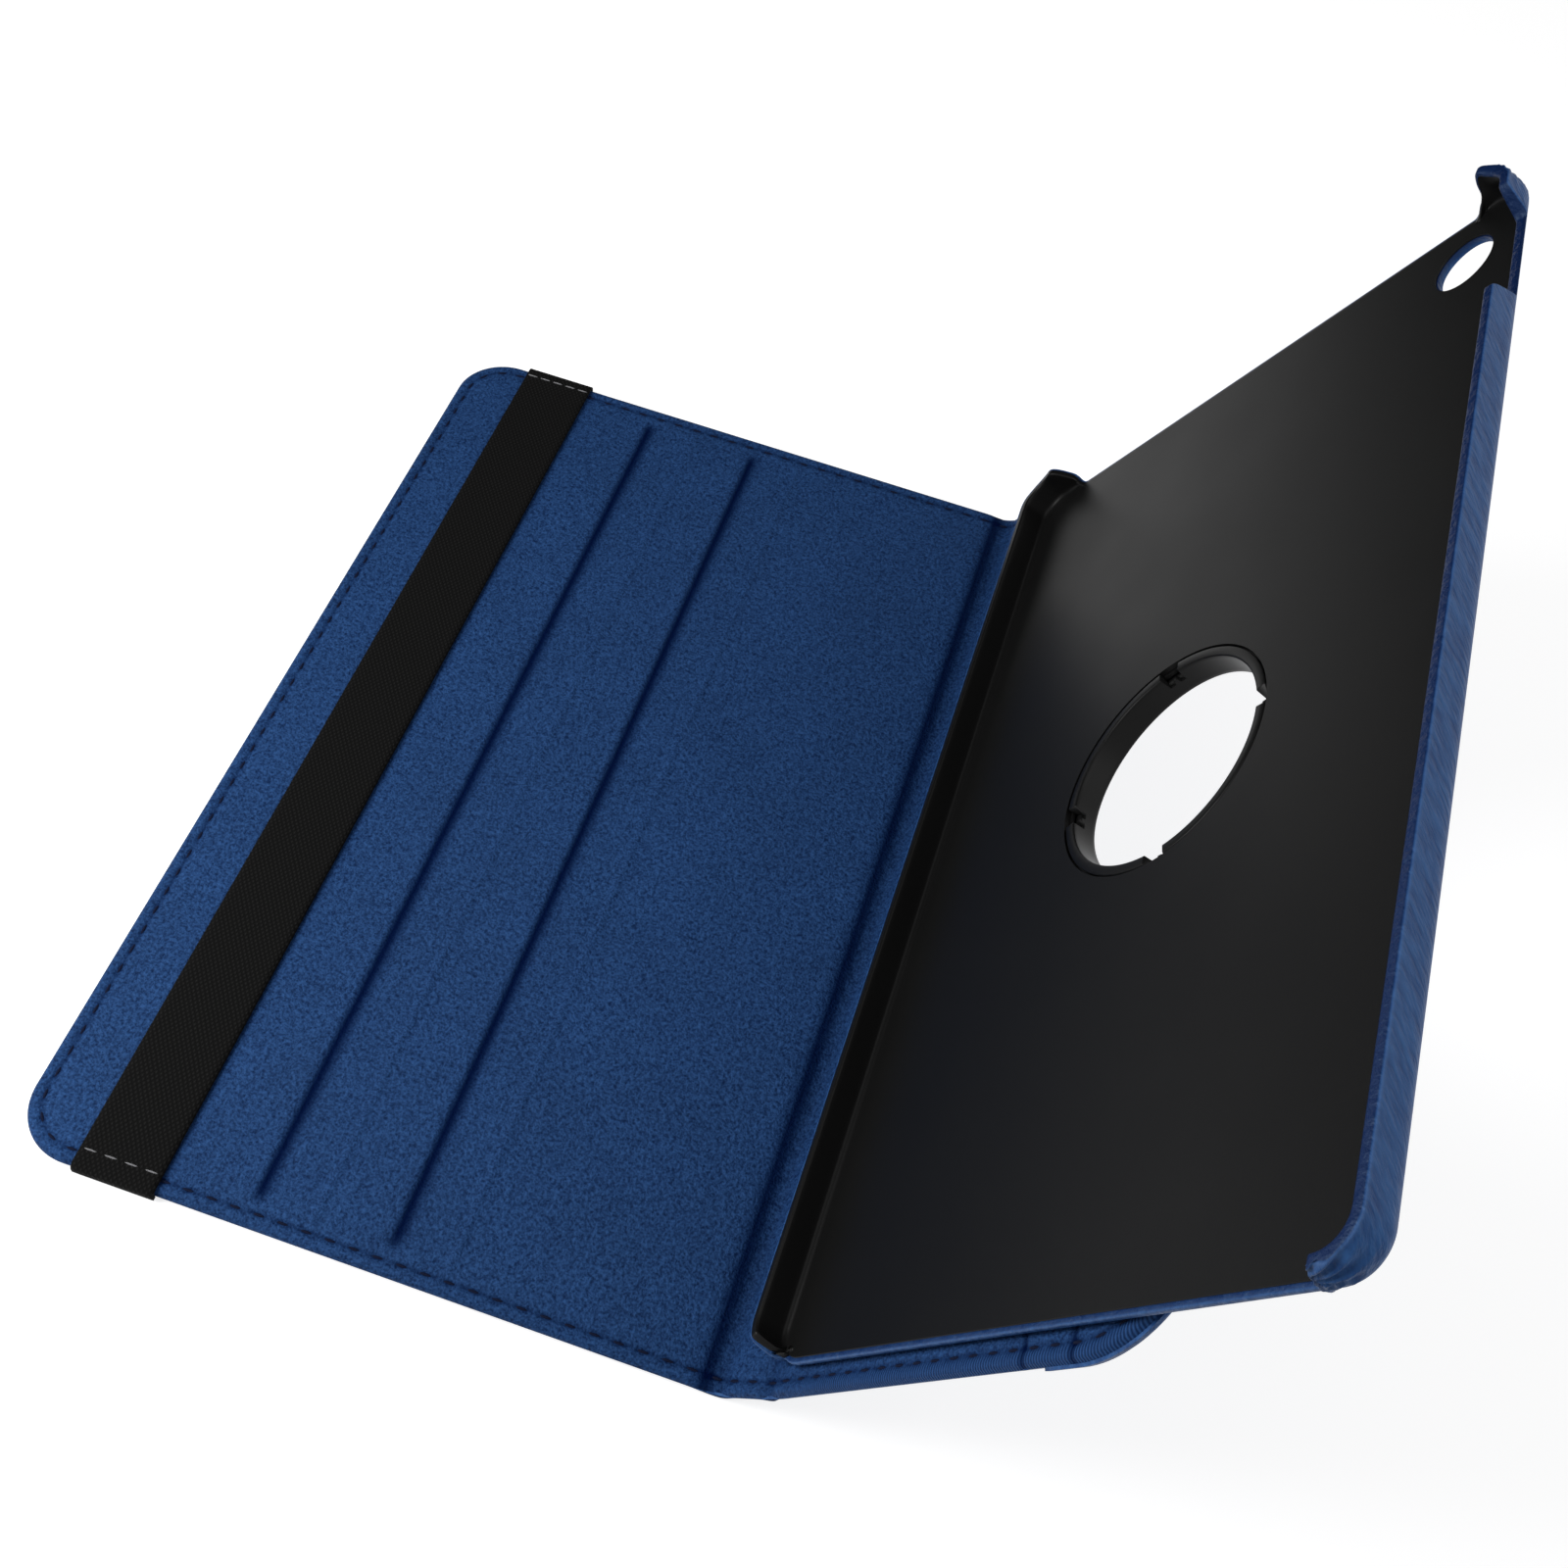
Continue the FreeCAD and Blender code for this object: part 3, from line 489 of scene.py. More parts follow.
def finish(name):
    """A finish by name, made once."""
    tones = colours()
    makers = {
        "suede_lining": suede_material,
        "pu_skin": skin_material,
        "strap_webbing": webbing_material,
        "panel_board": board_material,
        "tray_plastic": lambda: plastic_material("tray_plastic", tones.tray, roughness=0.36),
        "ring_plastic": lambda: plastic_material("ring_plastic", tones.ring, roughness=0.34),
        "edge_thread": lambda: thread_material("edge_thread", tones.thread),
        "strap_thread": lambda: thread_material("strap_thread", tones.strap_thread),
    }
    return bpy.data.materials.get(f"folio_{name}") or makers[name]()


# Making pieces


def add_piece(name, bm, finish_name, nodes=(), thickness=0.0):
    """A finished piece from a bmesh, standing for CAD nodes and taking a slot's finish."""
    mesh = bpy.data.meshes.new(name)
    bm.to_mesh(mesh)
    bm.free()
    mesh.shade_smooth()
    mesh.materials.append(finish(finish_name))
    piece = bpy.data.objects.new(name, mesh)
    bpy.context.scene.collection.objects.link(piece)
    if thickness:
        wall = piece.modifiers.new("wall", "SOLIDIFY")
        wall.thickness = thickness
        wall.offset = -1
    if nodes:
        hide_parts(*nodes)
    return piece


def new_grid(columns, rows, values=()):
    """A flat grid that carries named values, and each vertex with its column and row."""
    bm = bmesh.new()
    for name in values:
        bm.verts.layers.float.new(name)
    bmesh.ops.create_grid(bm, x_segments=columns, y_segments=rows, size=1)
    numbered = [(v, round((v.co.x + 1) / 2 * columns), round((v.co.y + 1) / 2 * rows)) for v in bm.verts]
    return bm, numbered


def set_facing(bm, upward, judge):
    """Turn all faces one way, judged by the face that a function picks."""
    bmesh.ops.recalc_face_normals(bm, faces=bm.faces)
    if (judge(bm.faces[:]).normal.z > 0) != upward:
        bmesh.ops.reverse_faces(bm, faces=bm.faces)


def close_rows(low, high, close):
    """Row places between two ends, close together within reach of the given places."""
    sizes = settings()
    rows = [low]
    while rows[-1] < high:
        near = any(abs(rows[-1] - place) < reach for place, reach in close)
        rows.append(rows[-1] + (sizes.close_row if near else sizes.middle_row))
    fit = (high - low) / (rows[-1] - low)
    return [low + (row - low) * fit for row in rows]


# Soft panels: relief in metres, its shares, and the scale of its waves
PUCKER_WIDTH = 0.0013
GROOVE_STEEP = 0.0010
GROOVE_SOFT = 0.0022
GROOVE_FADE = 0.004
RIDGE_WIDTH = 0.0009
RIDGE_HEIGHT = 0.00028
FOLD_WIDTHS = (0.0026, 0.002)
HINGE_WIDTH = 0.0016
CREASE_WIDTH = 0.0008
CREASE_PLACES = (-0.002, 0.0105)
RIB_SHARE = 0.8
RIB_FADE = 0.001
RIB_START = 0.02
# Painted shade: width of the painted shadow beside the strap, and the shares of painted shade there, along the seam
# line, at stitches, in folds and in the flap's crease.
STRAP_SHADOW_WIDTH = 0.0012
STRAP_SHADOW = 0.5
SEAM_LINE = 0.0006
SEAM_SHADE = 0.4
STITCH_SHADE = 0.5
FOLD_SHADE = 0.3
CREASE_SHADE = 0.8
SEAM_VALLEY = 0.0009
VALLEY_SHARE = 0.45
PUCKER_SHARE = 0.75
FOLD_FLATTENS = 0.7
LINE_SINK = 0.3
WAVE_SCALE = 45
WAVE_HEIGHT = 0.00008
WAVE_FADE = 0.004
SKIN_SEAM = 0.6
SKIN_FOLD = 0.3

# Close mesh rows: how far past a line their middle lies, and how far they reach from there
GROOVE_ROWS = (0.001, 0.006)
RIDGE_ROWS = 0.003
LEG_ROWS = 0.007
CREASE_ROWS = (0.005, 0.008)


def corner_radius(station):
    """Radius of the folio's corners at the nearer end, and the distance from that end."""
    sizes = settings()
    if station < FOLIO_LENGTH / 2:
        return sizes.cover_corner, station
    return sizes.flap_corner, FOLIO_LENGTH - station


def rounded(station, across):
    """Draw a corner of the flat pattern in to its rounded outline."""
    radius, from_end = corner_radius(station)
    out = (radius - from_end) / radius
    side = (abs(across) - (PANEL_HALF - radius)) / radius
    if out <= 0 or side <= 0:
        return station, across
    drawn_out = out * math.sqrt(1 - side * side / 2)
    drawn_side = side * math.sqrt(1 - out * out / 2)
    from_end = radius * (1 - drawn_out)
    station = from_end if station < FOLIO_LENGTH / 2 else FOLIO_LENGTH - from_end
    return station, math.copysign(PANEL_HALF - radius * (1 - drawn_side), across)


def edge_distance(station, across):
    """How far inside the folio's outline a point of the pattern lies."""
    radius, from_end = corner_radius(station)
    out = radius - from_end
    side = abs(across) - (PANEL_HALF - radius)
    if out > 0 and side > 0:
        return radius - math.hypot(out, side)
    return min(from_end, PANEL_HALF - abs(across))


def seam_points():
    """Places of the edge seam's stitches on the pattern, with their headings."""
    sizes = settings()
    inset, pitch = sizes.seam_inset, sizes.stitch_pitch
    cover, flap = sizes.cover_corner, sizes.flap_corner
    long_run = FOLIO_LENGTH - cover - flap
    runs = [
        (PANEL_HALF - cover, 0),
        ((cover - inset) * math.pi / 2, -math.pi / 2),
        (long_run, 0),
        ((flap - inset) * math.pi / 2, -math.pi / 2),
        (PANEL_HALF - flap, 0),
    ]
    total = sum(run for run, _ in runs)
    count = round(total / pitch)
    points = []
    for k in range(count):
        along, up, heading = walk(runs, (k + 0.5) * total / count)
        for side in (1, -1):
            points.append((inset - up, side * along, side * (heading + math.pi / 2)))
    return points


class Seam:
    """The edge seam's stitches, and how near a point of the pattern lies to one."""

    def __init__(self):
        self.points = seam_points()
        self.tree = kdtree.KDTree(len(self.points))
        for number, (station, across, _) in enumerate(self.points):
            self.tree.insert((station, across, 0), number)
        self.tree.balance()

    def pucker(self, station, across):
        """1 at a stitch, falling to 0 around it."""
        return bump(self.tree.find((station, across, 0))[2], PUCKER_WIDTH)


def groove_places():
    """Stations of the two stand grooves."""
    sizes = settings()
    return sizes.groove_one, sizes.groove_two


def groove_shape(station, across):
    """Depth of the stand grooves, 0 to 1: steep towards the free edge, soft towards the spine."""
    depth = 0.0
    for place in groove_places():
        offset = station - place
        depth += bump(offset, GROOVE_STEEP if offset < 0 else GROOVE_SOFT)
    return depth * smooth_step((settings().groove_reach - abs(across)) / GROOVE_FADE)


def ridge_shape(station, across):
    """Faint ridges where the stiffeners end."""
    sizes = settings()
    ridges = sum(bump(station - place - sizes.strip_ridge, RIDGE_WIDTH) for place in groove_places())
    return ridges * (abs(across) < sizes.groove_reach)


def fold_shape(station):
    """How far a point lies in one of the folio's two soft folds, 0 to 1."""
    return sum(bump(station - place, width) for place, width in zip(FOLD_MIDDLES, FOLD_WIDTHS))


def hinge_line(station):
    """How far a point lies in the sunk line along the cover's hinge, 0 to 1; the lining also takes painted shade
    there.
    """
    return bump(station - COVER_END + settings().hinge_back, HINGE_WIDTH)


def crease_shape(station):
    """How far a point lies in one of the two sunk lines of the flap's crease, 0 to 1; the lining also takes painted
    shade there.
    """
    return sum(bump(station - CREASE - place, CREASE_WIDTH) for place in CREASE_PLACES)


def ribbing(station, distance):
    """How far the lining is gathered, 0 to 1: in a band along the flap's edge."""
    banded = smooth_step((settings().rib_band - distance) / RIB_FADE)
    return RIB_SHARE * banded * smooth_step((station - FLAP_START) / RIB_START)


def painted_shading(seam, station, across, distance):
    """Painted shade, 0 to 1: in grooves, folds, the hinge line, the flap's crease and along the seam, and a painted
    shadow beside the strap.
    """
    sizes = settings()
    # A painted shadow beside the strap, and painted shade along the seam line, heavier at each stitch.
    strap_shadow = bump(station - sizes.strap_from_edge - sizes.strap_width, STRAP_SHADOW_WIDTH)
    seam_shade = bump(distance - sizes.seam_inset, SEAM_LINE)
    seam_shade *= SEAM_SHADE + STITCH_SHADE * seam.pucker(station, across)
    painted_shade = groove_shape(station, across) + FOLD_SHADE * fold_shape(station)
    painted_shade += CREASE_SHADE * crease_shape(station)
    return min(1.0, painted_shade + hinge_line(station) + STRAP_SHADOW * strap_shadow + seam_shade)


def edge_roll(distance):
    """How far the surface drops as it rounds over an edge."""
    distance = min(PANEL_RISE, max(0.0, distance))
    return PANEL_RISE - math.sqrt(PANEL_RISE ** 2 - (PANEL_RISE - distance) ** 2)


def seam_sink(seam, station, across, distance):
    """The seam's valley and its puckers."""
    sizes = settings()
    folded = min(1, fold_shape(station) + hinge_line(station))
    valley = bump(distance - sizes.seam_inset, SEAM_VALLEY) * (1 - FOLD_FLATTENS * folded)
    return sizes.seam_depth * valley * (VALLEY_SHARE + PUCKER_SHARE * seam.pucker(station, across))


def lining_height(seam, station, across, distance):
    """Height of the suede over the middle plane."""
    sizes = settings()
    wave = noise.noise(Vector((station, across, 0)) * WAVE_SCALE)
    height = PANEL_RISE - edge_roll(distance) - seam_sink(seam, station, across, distance)
    height -= sizes.groove_depth * groove_shape(station, across)
    height += RIDGE_HEIGHT * ridge_shape(station, across)
    folded = fold_shape(station) + LINE_SINK * hinge_line(station) + LINE_SINK * crease_shape(station)
    height -= sizes.fold_sink * folded
    return height + WAVE_HEIGHT * wave * smooth_step(distance / WAVE_FADE)


def skin_height(seam, station, across, distance):
    """Depth of the outer skin under the middle plane."""
    height = PANEL_RISE - edge_roll(distance) - SKIN_SEAM * seam_sink(seam, station, across, distance)
    return -height + SKIN_FOLD * settings().fold_sink * fold_shape(station)


def trim(bm, inside):
    """Cut the flat pattern back to where inside is positive, and draw its cut edge onto that line."""
    gone = [f for f in bm.faces if inside(*f.calc_center_median().xy) < 0]
    bmesh.ops.delete(bm, geom=gone, context="FACES")
    small, least_slope = 1e-5, 0.5
    reach = 1.5 * settings().middle_row
    for vertex in bm.verts:
        if not vertex.is_boundary:
            continue
        station, across = vertex.co.xy
        gap = inside(station, across)
        if abs(gap) > reach:
            continue
        slope = Vector((inside(station + small, across) - inside(station - small, across),
                        inside(station, across + small) - inside(station, across - small))) / (2 * small)
        if slope.length > least_slope:
            vertex.co.xy = Vector((station, across)) - gap * slope / slope.length_squared


def cloth_sheet(stations, sides, seam, facing, inside=None, cut=None):
    """A sheet of the folio over rows of stations and rows of sides, laid on the panels."""
    bm, numbered = new_grid(len(stations) - 1, len(sides) - 1, ("painted_shade", "ribbed"))
    for vertex, column, row in numbered:
        vertex.co.xy = rounded(stations[column], sides[row])
    if inside:
        trim(bm, inside)
    painted_shade, ribbed = bm.verts.layers.float["painted_shade"], bm.verts.layers.float["ribbed"]
    flat_area = sum(face.calc_area() for face in bm.faces)
    for vertex in bm.verts:
        station, across = vertex.co.xy
        distance = edge_distance(station, across)
        if cut:
            distance = min(distance, cut(station, across))
        if facing > 0:
            height = lining_height(seam, station, across, distance)
            # Painted shade of the lining, from grooves, folds, creases, the seam and the strap's shadow.
            vertex[painted_shade] = painted_shading(seam, station, across, distance)
            vertex[ribbed] = ribbing(station, edge_distance(station, across))
        else:
            height = skin_height(seam, station, across, distance)
        vertex.co = folio_point(station, across, height)
    set_facing(bm, facing > 0, lambda faces: faces[len(faces) // 2])
    for edge in bm.edges:
        edge.smooth = not edge.is_boundary
    return bm, flat_area


def tab_reach(station, across):
    """Distance from the middle of the ring's tab."""
    return math.hypot(station - CREASE, across)


def leg_inside(station, across):
    """Positive on the leg, outside the notch for the tab."""
    sizes = settings()
    return tab_reach(station, across) - sizes.tab_radius - sizes.tab_gap


def tab_inside(station, across):
    """Positive on the flap's end and its round tab, outside the ring's window."""
    sizes = settings()
    reach = tab_reach(station, across)
    return min(max(station - CREASE_HIGH, sizes.tab_radius - reach), reach - sizes.window_radius)


def tab_edge(station, across):
    """Distance from the tab's free edge."""
    if station > CREASE_HIGH:
        return 1.0
    return settings().tab_radius - tab_reach(station, across)


def add_panel(name, low, high, seam, bodies, close=(), inside=None, cut=None, gap=None):
    """One stretch of the folio: its suede and its skin, riding on a body or bent between two."""
    band = settings().edge_band
    stations = close_rows(low, high, close)
    edges = [(PANEL_HALF, band), (-PANEL_HALF, band)]
    spans = [(gap, PANEL_HALF), (-PANEL_HALF, -gap)] if gap else [(-PANEL_HALF, PANEL_HALF)]
    for facing, kind, slot in ((1, "lining", "suede_lining"), (-1, "skin", "pu_skin")):
        joined = bmesh.new()
        for span in spans:
            bm, part_area = cloth_sheet(stations, close_rows(*span, edges), seam, facing, inside, cut)
            scratch = bpy.data.meshes.new("part")
            bm.to_mesh(scratch)
            bm.free()
            joined.from_mesh(scratch)
            bpy.data.meshes.remove(scratch)
        node = f"{name}_{kind}"
        piece = add_piece(f"{node}_sheet", joined, slot, [node], settings().cloth)
        if len(bodies) > 1:
            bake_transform(piece, *bodies, start=folio_point(low, 0, 0), end=folio_point(high, 0, 0))
        else:
            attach(piece, *bodies)


class FOLIO_OT_panels(bpy.types.Operator):
    """Lay suede and skin over the cover, spine, flap and the soft folds between them"""
    bl_idname = "folio.panels"
    bl_label = "Soft panels"

    def execute(self, context):
        sizes = settings()
        seam = Seam()
        band = sizes.edge_band
        cover = [(0, band)]
        for place in groove_places():
            cover += [(place + GROOVE_ROWS[0], GROOVE_ROWS[1]), (place + sizes.strip_ridge, RIDGE_ROWS)]
        everywhere = [(0, FOLIO_LENGTH)]
        add_panel("front_cover", 0, COVER_END, seam, ["front_cover"], cover)
        add_panel("cover_fold", COVER_END, SPINE_START, seam, ["front_cover", "spine"], everywhere)
        add_panel("spine", SPINE_START, SPINE_END, seam, ["spine"], everywhere)
        add_panel("flap_fold", SPINE_END, FLAP_START, seam, ["spine", "flap_leg"], everywhere)
        add_panel("leg", FLAP_START, CREASE_LOW, seam, ["flap_leg"], [(CREASE, LEG_ROWS)],
                  leg_inside, leg_inside)
        add_panel("crease", CREASE_LOW, CREASE_HIGH, seam, ["flap_leg", "flap_end"], everywhere,
                  gap=sizes.tab_radius + sizes.tab_gap)
        add_panel("flap_end", CREASE - sizes.tab_radius, FOLIO_LENGTH, seam, ["flap_end"],
                  [(FOLIO_LENGTH, band), (CREASE + CREASE_ROWS[0], CREASE_ROWS[1])], tab_inside, tab_edge)
        return {"FINISHED"}


# Thread and strap: a stitch's step for its heading, the strap's mesh, and its tacks
STITCH_STEP = 0.0005
STRAP_COLUMNS = 14
STRAP_ROWS = 420
TACK_ROWS = ((4, 0.0048), (5, 0.0036))
TACK_SIZE = (0.0031, 0.00022)


def add_stitch(bm, place, heading, across_axis, size):
    """One stitch: a short rounded length of thread."""
    side = across_axis.cross(heading)
    turned = Matrix((heading, side, across_axis)).transposed().to_4x4()
    stretch = Matrix.Diagonal((size[0] / 2, size[1], size[1], 1))
    bmesh.ops.create_uvsphere(bm, u_segments=8, v_segments=6, radius=1,
                              matrix=Matrix.Translation(place) @ turned @ stretch)


class FOLIO_OT_seams(bpy.types.Operator):
    """Sew the edge seam round the folio, on the lining and on the skin"""
    bl_idname = "folio.seams"
    bl_label = "Edge seams"

    def execute(self, context):
        sizes = settings()
        seam = Seam()
        stretches = {
            "front_cover": (0, FOLD_MIDDLES[0]),
            "spine": FOLD_MIDDLES,
            "flap_leg": (FOLD_MIDDLES[1], CREASE),
            "flap_end": (CREASE, FOLIO_LENGTH),
        }
        strap = sizes.strap_from_edge, sizes.strap_from_edge + sizes.strap_width
        for body, (low, high) in stretches.items():
            bm = bmesh.new()
            for station, across, angle in seam.points:
                if not low <= station < high or strap[0] < station < strap[1]:
                    continue
                for surface in (lining_height, skin_height):
                    height = surface(seam, station, across, sizes.seam_inset)
                    ahead = folio_point(station + STITCH_STEP * math.cos(angle),
                                        across + STITCH_STEP * math.sin(angle), height)
                    place = folio_point(station, across, height)
                    outward = (place - folio_point(station, across, 0)).normalized()
                    heading = (ahead - place).normalized()
                    heading = (heading - heading.dot(outward) * outward).normalized()
                    add_stitch(bm, place, heading, outward, (sizes.stitch_length, sizes.thread))
            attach(add_piece(f"{body}_seam", bm, "edge_thread"), body)
        return {"FINISHED"}


class FOLIO_OT_strap(bpy.types.Operator):
    """Lay the elastic strap over the cover and tack its turned ends"""
    bl_idname = "folio.strap"
    bl_label = "Elastic strap"

    def execute(self, context):
        sizes = settings()
        low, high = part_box("elastic_strap")
        thick = sizes.strap_thick
        turn_radius = 2 * thick
        drop = high.z - low.z - turn_radius
        flat = high.y - low.y - 2 * turn_radius
        quarter = turn_radius * math.pi / 2
        runs = [(drop, 0), (quarter, -math.pi / 2), (flat, 0), (quarter, -math.pi / 2), (drop, 0)]
        total = sum(run for run, _ in runs)
        bm, numbered = new_grid(STRAP_COLUMNS, STRAP_ROWS)
        weave = bm.loops.layers.uv.new("UVMap")
        places = {}
        for vertex, column, row in numbered:
            travelled = total * row / STRAP_ROWS
            up, back, _ = walk(runs, travelled)
            across = low.x + (high.x - low.x) * column / STRAP_COLUMNS
            places[vertex] = (across, travelled)
            vertex.co = Vector((across, low.y - back, low.z + up))
        for face in bm.faces:
            for loop in face.loops:
                loop[weave].uv = places[loop.vert]
        set_facing(bm, True, lambda faces: max(faces, key=lambda face: face.calc_center_median().z))
        strap = add_piece("elastic_strap_band", bm, "strap_webbing", ["elastic_strap"],
                          thick)
        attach(strap, "front_cover")
        self.tack(low, high)
        return {"FINISHED"}

    def tack(self, low, high):
        """A row of stitches across each end of the strap."""
        bm = bmesh.new()
        for end, (count, inset) in zip((low.y, high.y), TACK_ROWS):
            across = end + math.copysign(inset, -end)
            for k in range(count):
                place = Vector((low.x + (high.x - low.x) * (k + 0.5) / count, across, high.z))
                add_stitch(bm, place, Vector((1, 0, 0)), Vector((0, 0, 1)), TACK_SIZE)
        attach(add_piece("elastic_strap_tacks", bm, "strap_thread"), "front_cover")


# Moulded tray, in the flap's own axes: along the flap, along the spine, out of the flap
CORNER_ROWS = 0.02
BUTTON_ROWS = 0.021
END_FACING = 0.05
SIDE_FACING = 0.9
LEVEL_SLACK = 1e-5
MERGE = 1e-6
HOLE_SEGMENTS = 120

# Its rim and skin: wrap along the rim, painted shade on the rim and a painted highlight along its outer edge, open
# ends and cut-out
WRAP_START = 0.02
WRAP_FADE = 0.03
WRAP_PAST = 0.0002
CUT_RISE = 0.00015
RIM_BAND = 1.1
RIM_SHADE_INSET = 0.0002
THIN_WRAP = 0.0006
THIN_FADE = 0.0012
HIGHLIGHT_SHARE = 0.6
HIGHLIGHT_WIDTH = 0.0001
STEP_STEEP = 2.5
STEP_BASE = 1.5
SKIN_RING = 0.034
CAMERA_LINE = 0.0004
TUCKED = 0.0004
BACK_SHARE = 0.65
INNER_SHARE = 0.4
OUTER_SHARE = 0.5

# Its pleats: a fan round a point under the rim
PLEAT_END = 0.03
PLEAT_DEPTH = 0.003
PLEAT_COUNT = 24
PLEAT_TWIST = 150
PLEAT_PEAK = 0.0065
PLEAT_WIDTH = 0.0045
PLEAT_FADE = 0.004
FAR_PLEATS = 0.3

# Heads of its far lips
LEAN_START = 0.002
LEAN_FADE = 0.004
LEAN_STEEP = 2.5
LEAN_BASE = 1.2
DIP_PLACE = 0.0045
DIP_WIDTH = 0.004
DIP_FADE = 0.002
LONG_HEAD = 0.0125
LIP_HEAD = 0.0075
HEAD_WIDTH = 0.0035

# Its moulding: ring seat, camera opening, and the edge that lies under the skin
SEAT_DEPTH = 0.0014
SEAT_LEDGE = 0.0002
CAMERA_STEP = 0.0003
CAMERA_EDGE = 0.0006
SHELL_WALL = 0.0012
UNDER_SKIN = 0.0002
EDGE_SUNK = 0.00005
EDGE_TURNED = 0.0009
TURNED_FROM = 0.0012
TURNED_OVER = 0.0008
RIM_SUNK = 0.8
RIM_SLOPE = 0.1
TURN_SUNK = 0.9
TURN_SLOPE = 0.2
WALL_SUNK = 1.22
FOOT_SHARE = 0.18


def quarter_turn(steps):
    """Angles of a quarter turn in equal steps, with both ends."""
    return [k / steps * math.pi / 2 for k in range(steps + 1)]


def outline_runs():
    """Runs of the tray's outline from the middle of its spine side, by way of its far end."""
    radius = settings().tray_corner
    straight_x = TRAY_HIGH.x - TRAY_LOW.x - 2 * radius
    straight_y = TRAY_HIGH.y - TRAY_LOW.y - 2 * radius
    quarter = (radius * math.pi / 2, -math.pi / 2)
    return [(straight_y / 2, 0), quarter, (straight_x, 0), quarter, (straight_y, 0), quarter,
            (straight_x, 0), quarter, (straight_y / 2, 0)]


def run_start(number):
    """Distance round the tray's outline at which a run starts."""
    return sum(run for run, _ in outline_runs()[:number])


def outline_rows():
    """Distances round the tray's outline, close together at its corners and its button cut-out."""
    sizes = settings()
    half_turn = sizes.tray_corner * math.pi / 4
    corners = [(run_start(number) + half_turn, CORNER_ROWS) for number in (1, 3, 5, 7)]
    button = run_start(4) + TRAY_HIGH.y - sizes.tray_corner - (sizes.button_near + sizes.button_far) / 2
    return close_rows(0, run_start(9), corners + [(button, BUTTON_ROWS)])


def tray_outline(travelled):
    """Point on the tray's outline, and the way out, at a distance round it."""
    along, up, heading = walk(outline_runs(), travelled)
    return Vector((TRAY_LOW.x - up, along)), Vector((-math.cos(heading), -math.sin(heading)))


def openness(point, outward):
    """0 at a full wall of the tray, 1 where it is open down to the floor, and whether that is an end."""
    sizes = settings()
    from_spine, from_free = point.x - TRAY_LOW.x, TRAY_HIGH.x - point.x
    if abs(outward.y) > END_FACING:
        far = point.y > 0
        tip, foot = (sizes.long_tip, sizes.long_foot) if far else (sizes.short_tip, sizes.short_foot)
        spine_side = smooth_step((from_spine - tip) / (foot - tip))
        tip, foot = (sizes.lip_tip, sizes.lip_foot) if far else (sizes.blunt_tip, sizes.blunt_foot)
        free_side = smooth_step((from_free - tip) / (foot - tip))
        return min(spine_side, free_side), True
    if outward.x > SIDE_FACING:
        slope = sizes.button_slope
        rise = smooth_step((point.y - sizes.button_near + slope) / slope)
        fall = smooth_step((sizes.button_far + slope - point.y) / slope)
        return min(rise, fall), False
    return 0.0, False


def wrap_reach(point, opened, at_end):
    """How far the skin wraps in over the rim: thin at the spine and the open ends, else over all of it."""
    sizes = settings()
    share = smooth_step((point.x - TRAY_LOW.x - WRAP_START) / WRAP_FADE)
    thin = sizes.spine_wrap
    if at_end:
        share *= 1 - opened
        thin += opened * (point.y < 0) * (sizes.end_wrap - thin)
    return thin + share * (sizes.tray_wall + WRAP_PAST - thin)


def pleats(travelled, depth):
    """Gathers of the skin that fan out from the ends of the two lips at the free side."""
    sizes = settings()
    near_lip = run_start(6) + sizes.blunt_foot - sizes.tray_corner - travelled
    far_lip = travelled - run_start(3) + sizes.lip_tip - sizes.tray_corner
    height = 0.0
    for away, share in ((near_lip, 1), (far_lip, FAR_PLEATS)):
        if 0 < away < PLEAT_END:
            reach = math.hypot(away, depth - PLEAT_DEPTH)
            angle = math.atan2(depth - PLEAT_DEPTH, away)
            fan = share * math.cos(PLEAT_COUNT * angle + PLEAT_TWIST * reach)
            fan *= bump(reach - PLEAT_PEAK, PLEAT_WIDTH)
            height += fan * smooth_step(away / PLEAT_FADE)
    return sizes.pleat_height * height


def lip_lean(point, level):
    """How far the head of the far lip at the free side leans towards the spine."""
    sizes = settings()
    from_free = TRAY_HIGH.x - point.x
    if point.y < 0 or from_free > 2 * sizes.lip_foot:
        return 0.0
    rise = (level - TRAY_LOW.z) / (TRAY_HIGH.z - TRAY_LOW.z)
    lean = sizes.lip_lean * smooth_step((from_free - LEAN_START) / LEAN_FADE)
    return lean * smooth_step(LEAN_STEEP * rise - LEAN_BASE)


def lip_rise(point):
    """How far the rim stands over its usual height: at the far lips more, at one corner less."""
    sizes = settings()
    if point.y < 0:
        return 0.0
    from_spine, from_free = point.x - TRAY_LOW.x, TRAY_HIGH.x - point.x
    corner = bump(from_spine - DIP_PLACE, DIP_WIDTH) * smooth_step(from_spine / DIP_FADE)
    spine_side = sizes.long_rise * bump(from_spine - LONG_HEAD, HEAD_WIDTH) - sizes.corner_dip * corner
    return spine_side + sizes.lip_rise * bump(from_free - LIP_HEAD, HEAD_WIDTH)


def back_curve(level):
    """How far the tray's rounded back edge lies inside its outline at a level."""
    radius = settings().tray_round
    under = max(0.0, TRAY_LOW.z + radius - level)
    return radius - math.sqrt(max(0.0, radius ** 2 - under ** 2))


